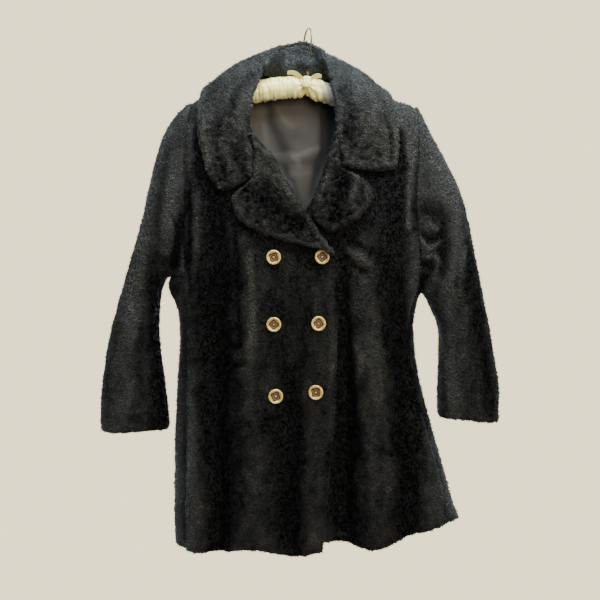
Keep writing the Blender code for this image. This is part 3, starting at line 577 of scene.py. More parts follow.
def surface_feet(mesh, count, rng, over):
    """Points spread over a sheet, with its normal and the distance to its edge at each. The count is what the
    sheet would have with no thinner side: fewer stand on what faces back."""
    mesh.calc_loop_triangles()
    corner = np.empty(len(mesh.loop_triangles) * 3, int)
    mesh.loop_triangles.foreach_get("vertices", corner)
    corner = corner.reshape(-1, 3)
    at, out, far = places(mesh), normals(mesh), rim_distance(mesh, RIM_REACH)
    a, b, c = (at[corner[:, k]] for k in range(3))
    across = np.cross(b - a, c - a)
    chance = np.linalg.norm(across, axis=1)
    thin = np.where(across[:, 1] > BEHIND * chance, THIN_BEHIND, 1.0)
    if over is not None:
        chance = chance * over((a + b + c) / 3)
    count = int(count * (chance * thin).sum() / chance.sum())
    chance = chance * thin
    pick = rng.choice(len(corner), count, p=chance / chance.sum())
    u = np.sqrt(rng.random(count))
    v = rng.random(count)
    shares = np.stack([1 - u, u * (1 - v), u * v], axis=1)
    foot = np.einsum("nk,nkd->nd", shares, at[corner[pick]])
    up = unit(np.einsum("nk,nkd->nd", shares, out[corner[pick]]))
    return foot, up, np.einsum("nk,nk->n", shares, far[corner[pick]])


def rim_feet(mesh, wall, rng, over):
    """Points along a sheet's cut edge, all through its wall, pointing off it."""
    a, b, way, out, _ = rim_rows(mesh)
    chance = np.linalg.norm(b - a, axis=1)
    count = int(chance.sum() / RIM_SPACING)
    if over is not None:
        chance = chance * over((a + b) / 2)
    pick = rng.choice(len(a), count, p=chance / chance.sum())
    deep = rng.random(count)[:, None]
    foot = a[pick] + (b - a)[pick] * rng.random(count)[:, None] - out[pick] * (wall * deep)
    up = unit(way[pick] + out[pick] * (RIM_OUT - RIM_TURN * deep))
    return foot, up, np.zeros(count)


def spikes(name, foot, way, long, wide, rng):
    """One mesh of closed three-sided spikes."""
    side = unit(np.cross(way, rng.normal(size=way.shape)))
    across = np.cross(way, side)
    ring = [foot + (side * math.cos(t) + across * math.sin(t)) * (wide / 2)[:, None] for t in TUFT_CORNERS]
    points = np.stack([*ring, foot + way * long[:, None]], axis=1).reshape(-1, 3)
    corners = np.array([[0, 1, 3], [1, 2, 3], [2, 0, 3], [2, 1, 0]])
    faces = (np.arange(len(foot))[:, None, None] * 4 + corners).reshape(-1, 3)
    made = bpy.data.meshes.new(name)
    made.vertices.add(len(points))
    made.vertices.foreach_set("co", points.ravel())
    made.loops.add(len(faces) * 3)
    made.loops.foreach_set("vertex_index", faces.ravel())
    made.polygons.add(len(faces))
    made.polygons.foreach_set("loop_start", np.arange(len(faces)) * 3)
    return made


def curls(points, facts):
    """Curly lumps where a sheet's pile is crushed, low on it: their height in mm."""
    low = rise(-points[:, 2], 130 * MM, 60 * MM)
    return facts.get("curl", 0.0) * low * field(points, 8 * MM, 77)


def painted_light_and_tone(points, far, facts, seed):
    """How light the pile is painted at points, about 0 on average: painted shade in valleys, painted light
    high up.
    """
    broad, narrow = by_width(facts["lines"])
    tone = facts.get("tone", 0.0) + PILE_TONE
    tone += BROAD_TONE * pressed(points, broad, 2)
    tone += CREASE_TONE * pressed(points, narrow, 2)
    tone += facts.get("edge_tone", 0.0) * bell(far, 7 * MM, 6 * MM)
    tone += TOP_TONE * rise(points[:, 2], *TOP_RISE)
    ragged = points + RAGGED * fields(points, RAGGED_SIZE, seed + 60)
    tone += sum(share * field(ragged, size, seed + own, tall) for share, size, own, tall in TONE_LUMPS)
    tone += CURL_TONE * curls(points, facts)
    return tone + FINE_TONE * field(points, FINE_SIZE, seed + 40, 1.3)


def ground_tone(mesh, facts, seed):
    """Write the pile's tone, its painted light and shade, on the cloth under it, from 0 to 1, for its
    material.
    """
    tone = painted_light_and_tone(places(mesh), rim_distance(mesh, RIM_REACH), facts, seed)
    share = rise(tone, TONE_STEPS[0], TONE_STEPS[-1] - TONE_STEPS[0])
    painted(mesh, "light_and_tone", np.stack([share] * 3, axis=1))


def tuft_tone(foot, far, facts, seed, rng):
    """Each tuft's tone as a material's number: a warm one, or a cool one, painted cool light, on the
    shoulders and the sides.
    """
    tone = painted_light_and_tone(foot, far, facts, seed) + rng.normal(0, OWN_TONE, len(foot))
    x, _, z = (foot / MM).T
    high = rise(z, *COOL_HIGH)
    aside = rise(np.abs(x - MIDDLE_X), *COOL_ASIDE)
    cool = rng.random(len(foot)) < high + aside + facts.get("cool", 0.0)
    return np.digitize(tone, TONE_STEPS) + len(WARM_TUFTS) * cool


def tufts(name, mesh, facts, seed, wall):
    """Short pile all over a sheet and its edges, leaning downwards with swirls and crushed patches, in
    seven tones that carry the painted light and shade of the folds."""
    rng = np.random.default_rng(seed)
    over = facts.get("over")
    feet = surface_feet(mesh, facts["count"], rng, over), rim_feet(mesh, wall, rng, over)
    foot, up, far = (np.concatenate(pair) for pair in zip(*feet))
    count = len(foot)
    swirl = fields(foot, SWIRL, seed, 1.4)
    patch = fields(foot, PATCH, seed + 9, 2.2)
    lean = NAP_WAY + PATCH_LEAN * patch + SWIRL_LEAN * swirl + OWN_LEAN * rng.normal(size=(count, 3))
    lean -= up * np.einsum("nd,nd->n", lean, up)[:, None]
    way = unit(up * TUFT_UP + lean * TUFT_LYING)
    clump = 1 + CLUMP_GROWTH * field(foot, CLUMP, seed + 50)
    long = TUFT_LONG * clump * rng.uniform(*TUFT_LENGTHS, count) * np.where(far > 0, 1.0, RIM_LONG)
    wide = TUFT_WIDE * rng.uniform(*TUFT_WIDTHS, count) * np.where(up[:, 1] > BEHIND, WIDE_BEHIND, 1.0)
    made = spikes(name, foot - up * TUFT_ROOT, way, long, wide, rng)
    dressed(made, *WARM_TUFTS, *facts.get("cool_tufts", COOL_TUFTS))
    made.polygons.foreach_set("material_index", np.repeat(tuft_tone(foot, far, facts, seed, rng), 4))
    stands_on = made.attributes.new("stands_on", "FLOAT_VECTOR", "POINT")
    soft = CURLY + (SLEEK - CURLY) * rise(foot[:, 2], *SLEEK_RISE)
    stands_on.data.foreach_set("vector", np.repeat(up * soft[:, None], 4, axis=0).ravel())
    made.update()
    made.validate()
    return show(name, made)


# ---------------- cloth pieces

# Each line's rows are x, z, depth outwards, width (all mm) and tone: painted light and shade, where the pile
# looks lighter or darker, lighter on ridges and lit bands, darker in valleys and in painted shadows under the
# collar and lapels.

FRONT_LINES = [
    [(-190, -205, -2, 18, -0.6), (-168, -330, -3, 22, -1.3), (-164, -500, -4, 23, -1.8),
     (-163, -710, -6, 20, -2.1), (-158, -860, -8, 15, -2.1), (-162, -945, -8, 15, -1.6)],
    [(-212, -190, 0, 10, 0.8), (-206, -290, 1, 11, 0.9), (-197, -340, 2, 13, 1.5), (-200, -395, 2, 13, 1.4),
     (-208, -450, 1, 11, 1.2), (-216, -500, 0, 10, 0.2)],
    [(-211, -291, -1.5, 3.5, -1), (-211, -390, -2, 3.5, -1.2), (-212, -492, -1.5, 3.5, -1)],
    [(181, -360, 1, 10, 0.8), (189, -402, 2, 13, 1.4), (193, -440, 2, 16, 1.5), (188, -490, 2, 15, 1.3),
     (184, -545, 1, 13, 0.8)],
    [(-220, -460, 1, 14, 1), (-219, -560, 1, 17, 1.6), (-214, -760, 3, 20, 1.9), (-211, -930, 4, 23, 2)],
    [(166, -100, 0, 28, 3), (180, -170, 0, 26, 3), (186, -240, 0, 16, 1.1)],
    [(-116, -330, 1, 26, 0.5), (-114, -500, 2, 26, 0.5), (-112, -730, 4, 29, 0.7), (-100, -860, 5, 32, 0.9),
     (-100, -935, 6, 32, 0.9)],
    [(-40, -440, 0, 58, 0.35), (-40, -560, 0, 58, 0.45), (-40, -660, 0, 58, 0.4), (-40, -740, 0, 40, 0)],
    [(-40, -440, -1, 20, -0.1), (-34, -600, -2, 20, -0.3), (-36, -700, -4, 16, -1.5),
     (-37, -930, -6, 15, -1.7)],
    [(12, -480, 1, 16, 0.2), (13, -700, 2, 22, 0.7), (12, -930, 3, 26, 0.9)],
    [(62, -420, -2, 7, -0.8), (64, -500, -3, 7, -1.3), (66, -570, -4, 10, -2.1), (67, -713, -5, 14, -2.4),
     (62, -860, -6, 14, -2.4), (60, -935, -6, 14, -2.1)],
    [(94, -400, 2, 20, 1), (99, -500, 3, 27, 1.1), (110, -640, 3, 29, 0.9), (121, -760, 4, 31, 0.9),
     (121, -910, 5, 32, 0.9)],
    [(146, -440, -1, 14, -0.5), (164, -540, -4, 17, -1.5), (180, -680, -5, 18, -1.8),
     (180, -800, -6, 15, -2), (176, -905, -6, 15, -1.6)],
    [(216, -640, 1, 14, 0.6), (226, -740, 2, 20, 1.2), (228, -890, 4, 26, 1.5)],
    [(134, -230, -1, 22, -0.8), (160, -310, -3, 24, -1.3), (158, -400, -2, 24, -0.8)],
    [(187, -160, 2.5, 6, 1.4), (186, -240, 2.5, 6, 1.4), (181, -300, 2.5, 6, 1.6), (178, -370, 2, 6, 1.2)],
    [(-130, -362, -2.5, 4, -0.8), (-127, -440, -2.5, 4, -1), (-122, -580, -2, 4, -0.9)],
    [(-148, -472, -3, 5, -1), (-128, -478, -3, 6, -1), (-106, -470, 0, 5, 0)],
    [(-150, -570, -2.5, 5, -0.9), (-130, -585, -3, 6, -1), (-112, -580, 0, 5, 0)],
    [(-144, -612, 0, 5, 0), (-126, -618, -3, 5, -0.9), (-104, -606, 0, 5, 0)],
    [(-104, -420, 1.5, 7, 0.9), (-98, -520, 2, 7, 1), (-104, -600, 0, 7, 0.5)],
    [(66, -394, -2.5, 5, -1), (90, -404, -3, 5, -1), (116, -420, 0, 5, 0)],
    [(72, -416, 2.5, 5, 1), (96, -428, 2.5, 5, 1.1), (118, -446, 0, 5, 0)],
    [(76, -438, -2.5, 5, -0.9), (98, -450, -2.5, 5, -0.9), (112, -466, 0, 5, 0)],
    [(128, -762, -2, 4, -0.9), (136, -770, -2.5, 4, -1), (146, -774, -1, 4, -0.5)],
    [(-143, -312, 0, 10, -1.2), (-138, -346, 0, 10, -1.6), (-112, -374, 0, 10, -1.6),
     (-72, -394, 0, 10, -1.6), (-14, -414, 0, 9, -1.6), (20, -432, 0, 8, -1.2)],
    [(120, -292, 0, 10, -1.2), (121, -334, 0, 10, -1.6), (106, -362, 0, 10, -1.6), (72, -387, 0, 9, -1.5),
     (46, -400, 0, 8, -1.2)],
    [(-204, -200, 0, 9, -1), (-194, -270, 0, 9, -1.4), (-172, -310, 0, 10, -1.6), (-124, -312, 0, 10, -1.5),
     (-100, -288, 0, 8, -1)],
    [(60, -264, 0, 9, -1.2), (90, -284, 0, 10, -1.6), (154, -286, 0, 10, -1.6), (166, -262, 0, 9, -1.4),
     (168, -200, 0, 9, -1)],
    [(60, -436, 0, 5, -2), (61, -700, 0, 6, -2.2), (56, -930, 0, 6, -1.6)],
    [(40, -440, 0, 9, 0.5), (42, -560, 0, 9, 0.8), (40, -700, 0, 9, 0.7), (35, -770, 0, 8, 0.2)],
    [(82, -560, 0, 9, 0.2), (92, -610, 2, 9, 1), (80, -660, 0, 9, 0.3)],
    [(120, -560, 0, 10, 0.2), (132, -600, 1.5, 10, 0.9), (122, -690, 0, 10, 0.3)],
]

# The first two lines are painted light along the sides; the rest are folds with painted shade in their
# valleys and painted light on their ridges.
BACK_LINES = [
    [(-234, -500, 0, 14, 1.2), (-238, -700, 0, 16, 1.8), (-240, -930, 0, 16, 1.8)],
    [(214, -560, 0, 14, 1), (238, -700, 0, 16, 1.5), (262, -900, 0, 18, 1.5)],
    [(-150, -480, -1, 20, -0.4), (-156, -700, -4, 24, -1.3), (-160, -930, -7, 24, -1.4)],
    [(-62, -300, -1, 22, -0.5), (-58, -600, -4, 24, -1.2), (-66, -930, -8, 26, -1.5)],
    [(48, -420, -1, 20, -0.5), (54, -700, -4, 24, -1.3), (46, -930, -7, 26, -1.4)],
    [(150, -360, -1, 22, -0.4), (148, -640, -4, 24, -1.2), (158, -900, -7, 24, -1.4)],
    [(-104, -400, 1, 22, 0.4), (-108, -700, 4, 24, 0.7), (-112, -930, 6, 26, 0.8)],
    [(-4, -360, 1, 24, 0.4), (0, -640, 3, 24, 0.6), (-8, -930, 6, 26, 0.8)],
    [(98, -420, 1, 22, 0.5), (100, -700, 4, 24, 0.6), (104, -920, 6, 26, 0.8)],
    [(-4, -120, -1.5, 4, -0.5), (-4, -400, -1.5, 4, -0.5), (-4, -930, -1.5, 4, -0.5)],
    [(-70, -470, -2, 6, -0.8), (-40, -480, -3, 7, -1), (-8, -468, 0, 6, 0)],
    [(10, -500, 0, 6, 0), (44, -512, -3, 7, -1), (80, -498, -1, 6, -0.3)],
    [(-180, -250, -2, 14, -0.8), (-150, -300, -3, 14, -0.9), (-110, -320, 0, 14, 0)],
    [(170, -250, -2, 14, -0.8), (140, -300, -3, 14, -0.9), (100, -330, 0, 14, 0)],
]

SLEEVE_RIGHT_LINES = [
    [(-262, -190, 0, 16, 0.8), (-286, -340, 2, 16, 1), (-322, -500, 3, 24, 1), (-338, -640, 2, 24, 0.9),
     (-344, -745, 2, 24, 0.9)],
    [(-250, -210, -1, 10, -0.6), (-262, -300, -2, 11, -1), (-277, -376, -2, 11, -1.1),
     (-279, -450, -2, 12, -1.2), (-275, -560, -3, 15, -1.4), (-270, -650, -3, 18, -1.4),
     (-272, -745, -3, 18, -1.2)],
    [(-234, -240, 1, 12, 1), (-247, -306, 2, 14, 1.3), (-252, -360, 2, 14, 1.2), (-254, -420, 1, 12, 0.7),
     (-252, -470, 1, 10, 0.3)],
    [(-228, -350, -2, 8, -1), (-232, -400, -3, 12, -1.6), (-242, -436, -3, 10, -1.4)],
    [(-300, -520, -1, 8, -0.4), (-306, -600, -2, 8, -0.5), (-304, -690, -1, 8, -0.3)],
    [(-218, -396, 0, 6, 0.5), (-220, -440, 1, 7, 0.8), (-230, -466, 1, 8, 0.8)],
    [(-244, -404, 1.5, 4, 0.7), (-256, -414, 2, 4, 0.9), (-270, -412, 0, 4, 0)],
    [(-248, -344, -1.5, 4, -0.6), (-238, -368, -2, 4, -0.8), (-234, -396, -1, 4, -0.6)],
    [(-282, -700, 0, 6, 0), (-310, -716, -2, 6, -0.4), (-336, -712, 0, 6, 0)],
]

SLEEVE_LEFT_LINES = [
    [(200, -110, 0, 26, 2.6), (210, -160, 0, 26, 2.6), (224, -210, 0, 26, 2.2), (240, -260, 1, 24, 1.2),
     (262, -320, 1, 18, 0.9)],
    [(211, -308, 1.5, 10, 0.6), (242, -315, 2, 10, 0.9), (258, -330, 1, 10, 0.8)],
    [(196, -340, -2, 14, -0.8), (228, -350, -2, 12, -0.9)],
    [(266, -341, 1.5, 10, 0.9), (264, -388, 2, 11, 1), (261, -430, 2, 11, 1.1), (252, -466, 2, 12, 1.1),
     (254, -500, 2, 14, 0.9), (258, -600, 2, 20, 0.7), (263, -715, 2, 22, 0.7)],
    [(242, -357, -1, 10, -0.4), (244, -400, -2, 10, -0.7), (241, -452, -2, 10, -0.8)],
    [(290, -400, -1, 12, -0.6), (292, -438, -2, 14, -0.9), (300, -510, -3, 17, -1.2),
     (318, -610, -3, 18, -1.1), (326, -700, -3, 18, -0.9)],
    [(197, -381, 1, 4, 0.9), (206, -396, 2.5, 4, 1.3), (214, -409, 2.5, 4, 1.3), (226, -404, 2.5, 4, 1.2),
     (237, -397, 1, 4, 0.8)],
    [(206, -384, -2, 7, -0.9), (219, -391, -3, 8, -1.1), (230, -388, -2, 7, -0.8)],
    [(212, -423, 2, 4, 1.2), (225, -420, 2.5, 4, 1.2), (237, -431, 1, 4, 0.8)],
    [(210, -434, -2.5, 7, -1.1), (222, -440, -3, 7, -1.2)],
    [(232, -436, 2, 8, 0.7), (230, -456, 2, 8, 0.6)],
    [(212, -458, -2.5, 7, -1), (205, -482, -3, 8, -1.1)],
    [(226, -466, 2, 7, 0.7), (219, -490, 1, 7, 0.5)],
    [(218, -363, 1, 3.5, 0.7), (230, -372, 2, 3.5, 1.1)],
    [(284, -404, 1, 4, 0.5), (275, -433, 2, 4, 0.8), (271, -488, 1, 4, 0.5)],
    [(210, -240, -1, 9, -0.3), (218, -270, -2.5, 9, -0.5), (216, -290, -1, 9, -0.3)],
]

COLLAR_LINES = [
    [(134, -196, 2, 6, 0.9), (138, -228, 2.5, 6, 0.9), (136, -258, 2, 6, 0.7)],
    [(144, -196, -1.5, 6, -0.6), (148, -228, -2, 6, -0.8), (147, -262, -1.5, 6, -0.6)],
    [(154, -200, 2, 5, 0.8), (157, -230, 2, 5, 0.9), (156, -256, 1, 5, 0.5)],
    [(-146, -196, -1.5, 12, -0.6), (-126, -238, -2, 14, -0.7), (-112, -282, -2, 12, -0.9)],
    [(-176, -150, 0, 10, 0.4), (-186, -200, 1.5, 10, 0.8), (-184, -262, 1, 10, 0.8)],
    [(-160, -250, -1, 8, -0.3), (-150, -272, -1.5, 8, -0.4), (-142, -296, -1, 8, -0.3)],
    [(60, -120, 0, 12, -0.4), (78, -170, -2, 12, -1), (66, -214, -2, 12, -1.2)],
    [(104, -120, 1, 14, 0.8), (118, -160, 1.5, 14, 0.9), (100, -200, 0, 14, 0.6)],
    [(-104, -96, -1, 9, -0.6), (-128, -130, -2, 9, -0.8), (-138, -172, -1, 9, -0.5)],
]

LAPEL_LINES = [
    [(-112, -290, -1, 16, -0.7), (-70, -330, -2, 18, -1), (-20, -370, -2, 14, -0.9)],
    [(-96, -262, 0, 8, 0.3), (-70, -276, 1.5, 8, 0.9), (-48, -300, 0, 8, 0.3)],
    [(60, -250, -1, 10, -0.8), (62, -300, -2, 12, -1), (44, -352, -1, 10, -0.9)],
    [(76, -262, 1, 8, 0.5), (84, -296, 1.5, 8, 0.9), (72, -330, 1, 8, 0.5)],
]


def seen_left(points):
    """Few tufts where the left front lies under the right one."""
    return np.where((points[:, 0] < 22 * MM) & (points[:, 2] < -0.44), 0.12, 1.0)


def at_nape(point):
    return point.y > 10 * MM


FUR_WALL = 3.2 * MM
PILE_ROOM = 1.6 * MM  # how far the cloth lies inside its CAD wall, to leave room for its pile
EDGE_DROP = 1.8 * MM
SEAM, HEM = 1.0 * MM, 0.8 * MM  # how far a sheet's edge is spread
FACING = 34 * MM  # how far the fur is turned to the inside along a sheet's edges
SEAM_REACH, SEAM_GAP, SEAM_FADE = 15 * MM, 0.3 * MM, 4 * MM

# Each sheet's flat box and area in metres, and its count of tufts. Lengths that follow are in metres, but
# bulge, curl and forward are in mm.
# A sheet's tone lifts or darkens all its pile as painted light and shade, edge_tone paints a highlight along
# its rolled edge, and cool is an extra share of tufts in the cool palette, painted cool light.
SLEEVE = dict(flat=(0.34, 0.62), area=0.145, count=25500, levels=1, cool=0.8)
LAPEL = dict(lines=LAPEL_LINES, edge_tone=1.0, roll=1.8 * MM, curl=1.1, seam=0.6 * MM)
SHEETS = {
    "front_right": dict(
        flat=(0.30, 0.86), area=0.205, count=34500, lines=FRONT_LINES, levels=1, tone=-0.4, bulge=10.0
    ),
    "front_left": dict(
        flat=(0.36, 0.86), area=0.235, count=31000, lines=FRONT_LINES, levels=1, tone=-0.4, over=seen_left
    ),
    "back": dict(
        flat=(0.58, 0.88), area=0.46, count=36000, lines=BACK_LINES, levels=1, bulge=10.0, facing=BACK,
        longest=12 * MM,
    ),
    "sleeve_right": dict(SLEEVE, lines=SLEEVE_RIGHT_LINES, tone=0.75),
    "sleeve_left": dict(SLEEVE, lines=SLEEVE_LEFT_LINES, tone=0.9),
    "lapel_right": dict(LAPEL, flat=(0.14, 0.24), area=0.018, count=5200, tone=0.3),
    "lapel_left": dict(LAPEL, flat=(0.11, 0.19), area=0.011, count=3400, tone=-0.2),
    "collar": dict(
        flat=(0.66, 0.17), area=0.085, count=20000, lines=COLLAR_LINES, tone=0.35, edge_tone=0.5,
        roll=1.5 * MM, curl=1.4, seam=0.6 * MM,
    ),
    "collar_stand": dict(
        flat=(0.24, 0.06), area=0.0085, count=4200, lines=[], tone=0.6, cool_tufts=NAPE_TUFTS, wall=2.4 * MM,
        keep=at_nape, forward=8.0, seam=0.6 * MM,
    ),
}
SEAMS = [
    ("front_right", "sleeve_right"),
    ("back", "sleeve_right"),
    ("front_left", "sleeve_left"),
    ("back", "sleeve_left"),
    ("front_right", "back"),
    ("front_left", "back"),
]


def neck_opened(mesh):
    """The collar's and lapels' inner edges drawn a little apart, the right lapel's edge brought in under the
    notch, and the collar's roll made full on both sides of its peak. Sizes are in mm."""
    at = places(mesh)
    x, y, z = (at / MM).T
    down = bell(z, -150, 70) * (y < 20)
    left = bell(x, -104, 34) * (x > -190) * down
    right = bell(x, 52, 34) * (x < 140) * down
    inward = bell(x, -76, 26) * bell(z, -242, 27) * (y < 20)
    lift = 9 * bell(x, -74, 30) * bell(z, -48, 30) + 6 * bell(x, 40, 22) * bell(z, -46, 28)
    move(mesh, at + np.stack([(3.5 * right - 7 * left + 9 * inward) * MM, 0 * x, lift * MM], axis=1))


def brought_forward(mesh, amount):
    """The stand's pile comes forward in the neck, most of all over the hook's wire, which it hides."""
    at = places(mesh)
    x, _, z = (at / MM).T
    at[:, 1] -= amount * MM * (1 + 1.6 * bell(x, 0, 15)) * bell(z, -68, 18)
    move(mesh, at)


def bulged(mesh, amount):
    """The body's side reaches out towards the right sleeve just under the armpit, where the gap is narrow."""
    at = places(mesh)
    x, _, z = (at / MM).T
    at[:, 0] -= amount * MM * bell(x, -240, 20) * bell(z, -474, 24)
    move(mesh, at)


def shaped(name, facts, seed):
    """A fur sheet's outer surface with its folds and its rolled edges."""
    skin = outer_skin(name, facts.get("facing", FRONT), facts.get("keep"))
    mesh = refined(skin, facts.get("longest", LONGEST_EDGE), facts.get("levels", 2))
    raised(mesh, -PILE_ROOM)
    ruffled(mesh, 1.2 * MM, 30 * MM, seed, 1.6)
    raised(mesh, curls(places(mesh), facts) * MM)
    fold(mesh, facts["lines"])
    rolled_rim(mesh, facts.get("roll", 0.0), EDGE_DROP)
    spread_rim(mesh, facts.get("seam", SEAM), HEM)
    neck_opened(mesh)
    brought_forward(mesh, facts.get("forward", 0.0))
    bulged(mesh, facts.get("bulge", 0.0))
    return mesh


def nearest_on_rim(points, a, b):
    """For each point, the nearest point on the segments from a to b, and how far it is."""
    way = b - a
    t = np.einsum("nmd,md->nm", points[:, None] - a[None], way) / np.maximum((way**2).sum(1), 1e-12)
    spots = a[None] + t.clip(0, 1)[..., None] * way[None]
    far = np.linalg.norm(spots - points[:, None], axis=2)
    best = far.argmin(axis=1)
    every = np.arange(len(points))
    return spots[every, best], far[every, best]


def sewn(one, other):
    """Pull two sheets' edges together where they run side by side, so that their seam is shut."""
    rims = [rim_rows(one), rim_rows(other)]
    for mesh, own, facing in ((one, *rims), (other, *rims[::-1])):
        at = places(mesh)
        edge = np.unique(own[-1].astype(int))
        spot, far = nearest_on_rim(at[edge], *facing[:2])
        near = np.clip((SEAM_REACH - far) / SEAM_FADE, 0, 1)
        share = 0.5 * near * (far - SEAM_GAP).clip(0, 1) / np.maximum(far, 1e-9)
        at[edge] += (spot - at[edge]) * share[:, None]
        move(mesh, at)


def cloth(name, mesh, facts, seed):
    """A fur sheet with its lining and its tufts."""
    wall = facts.get("wall", FUR_WALL)
    obj = show(name + "_cloth", mesh, (name,))
    # The inside takes the next material: the lining, or fur where it is turned in along the edge.
    dressed(mesh, GROUND, LINING, GROUND, GROUND)
    inside = rim_distance(mesh, FACING)
    turned = [2 if min(inside[v] for v in p.vertices) < FACING * 0.99 else 0 for p in mesh.polygons]
    mesh.polygons.foreach_set("material_index", turned)
    modified(obj, "wall", "SOLIDIFY", thickness=wall, offset=-1, material_offset=1, material_offset_rim=0)
    ground_tone(mesh, facts, seed)
    pile = tufts(name + "_pile", mesh, facts, seed, wall)


skins = {name: shaped(name, SHEETS[name], number) for number, name in enumerate(SHEETS)}
for one, other in SEAMS:
    sewn(skins[one], skins[other])
for number, name in enumerate(SHEETS, 100):
    cloth(name, skins[name], SHEETS[name], number)


# ---------------- back lining

# Rows as above, but the tone is painted shade, how much of its light the satin loses: darker in the folds and
# in a painted shadow just under the pad, and painted highlights where it is below zero, along the creases and
# on the upper left.
LINING_LINES = [
    [(-74, -126, -1.2, 10, 0.25), (-72, -164, -1.6, 11, 0.35), (-58, -192, -2, 16, 0.35),
     (-47, -216, -1.5, 17, 0.4)],
    [(-66, -131, 0, 5, -0.15), (-48, -159, 0.8, 5, -0.2), (-29, -172, 0, 5, -0.15)],
    [(-86, -160, 0, 5, 0), (-83, -182, 0.5, 5, -0.12), (-78, -204, 0, 5, -0.1)],
    [(46, -112, -1.5, 16, 0.45), (44, -180, -2, 16, 0.45), (40, -222, -2, 14, 0.5)],
    [(29, -140, -0.6, 6, 0.25), (29, -180, -0.8, 6, 0.3), (27, -226, -0.6, 6, 0.3)],
    [(-8, -130, 0, 9, 0.2), (12, -138, 0, 10, 0.3), (26, -152, 0, 8, 0.2)],
    [(-26, -190, -0.8, 14, 0.15), (-10, -196, -0.5, 14, 0.1), (4, -190, 0, 12, 0)],
    [(-64, -226, 0.2, 5, -0.08), (-34, -224, 0.4, 5, -0.12), (-21, -234, 0.7, 6, -0.3),
     (-16, -246, 0, 6, -0.2)],
    [(-26, -232, 0.5, 5, -0.2), (-12, -226, 0.8, 5, -0.35), (6, -219, 0.8, 5, -0.35),
     (21, -213, 0.4, 4.5, -0.3)],
    [(-58, -244, -0.5, 10, 0.35), (-34, -242, -0.5, 9, 0.15), (0, -240, -0.5, 9, 0.22),
     (24, -234, -0.5, 8, 0.3)],
    [(-42, -254, -1, 9, 0.4), (-38, -270, -0.6, 8, 0.3)],
    [(24, -238, -1, 9, 0.45), (17, -252, -1.5, 9, 0.5), (12, -270, -1, 7, 0.35), (6, -300, -0.5, 6, 0.25)],
    [(-28, -274, -0.5, 6, 0.25), (-20, -304, -0.5, 6, 0.3), (-10, -330, 0, 6, 0.25)],
    [(-27, -263, 0, 4.5, -0.1), (6, -260, 0, 4.5, -0.1)],
    [(-102, -124, 0, 14, -0.3), (-102, -170, 0, 13, -0.2), (-90, -200, 0, 12, -0.05)],
    [(-110, -102, 0, 7, 0.4), (0, -98, 0, 8, 0.4), (70, -106, 0, 7, 0.4)],
    [(-50, -400, 2, 16, 0), (-56, -600, 4, 20, 0), (-60, -880, 5, 24, 0)],
    [(60, -400, 2, 16, 0), (66, -560, 4, 20, 0), (70, -880, 5, 24, 0)],
    [(-120, -300, 1, 16, 0), (-126, -600, 4, 20, 0), (-130, -880, 5, 22, 0)],
    [(130, -320, 2, 16, 0), (136, -600, 4, 20, 0), (146, -880, 5, 22, 0)],
]
LINING_SEEN = -320 * MM  # only what lies above this shows through the neck
LINING_WALL = 0.8 * MM


def back_lining():
    """The satin inside the back, pressed into folds, with painted shade where they turn from the light."""
    mesh = refined(outer_skin("back_lining", FRONT), 4.5 * MM, levels=1, fine_above=LINING_SEEN)
    ruffled(mesh, 0.8 * MM, 45 * MM, 61, 2.0)
    # Painted shade from the lines, lightened towards the top with painted light.
    turned = 0.32 + 1.6 * pressed(places(mesh), LINING_LINES, 2)
    turned -= 0.14 * rise(places(mesh)[:, 2], -180 * MM, 50 * MM)
    fold(mesh, LINING_LINES)
    painted(mesh, "turned", np.stack([turned.clip(0, 0.94)] * 3, axis=1))
    at = places(mesh)
    at[:, 2] += 8 * MM * rise(at[:, 2], -165 * MM, 40 * MM)
    move(mesh, at)
    obj = show("back_lining_cloth", mesh, ("back_lining",))
    dressed(mesh, LINING)
    modified(obj, "wall", "SOLIDIFY", thickness=LINING_WALL, offset=-1)


back_lining()


# ---------------- padded hanger

KNOT_X, KNOT_Z = -2 * MM, -106 * MM
NOTCH_X = -7 * MM
VOXEL = 7 * MM
PAD_SLIM, PAD_SWELL, PAD_SAG = 1.5 * MM, 5 * MM, 4 * MM
PAD_FRAMES = 20
PAD_STEP = 8 * MM  # the pad's height is measured in columns this wide
FINE_GATHER, WIDE_GATHER = 3.4 * MM, 9 * MM
RIBBON_WIDE, RIBBON_WALL = 0.0136, 0.6 * MM
RIBBON_STEPS = 40
# Painted shade over the bow's loops: what the satin loses of its red, green and blue.
RIBBON_SHADE = [0.3, 0.26, 0.1]


def swollen(mesh):
    """The pad blown up like a filled cushion: Cloth with pressure and no gravity, no point further than
    PAD_SWELL."""
    pad = placed("pad_form", mesh)
    modified(pad, "slim", "DISPLACE", strength=-PAD_SLIM, mid_level=0)
    modified(pad, "cells", "REMESH", mode="VOXEL", voxel_size=VOXEL)
    even = applied(pad)
    pad = placed("pad_form", even)
    settings = modified(pad, "cloth", "CLOTH").settings
    settings.use_pressure = True
    settings.uniform_pressure_force = 4
    settings.effector_weights.gravity = 0
    before = places(even)
    scene = bpy.context.scene
    for step in range(1, PAD_FRAMES + 1):
        scene.frame_set(step)
    depsgraph = bpy.context.evaluated_depsgraph_get()
    shift = places(pad.evaluated_get(depsgraph).to_mesh()) - before
    far = np.linalg.norm(shift, axis=1, keepdims=True)
    shift *= np.minimum(1, PAD_SWELL / np.maximum(far, 1e-9))
    bpy.data.objects.remove(pad)
    scene.frame_set(1)
    move(even, before + shift)
    return even


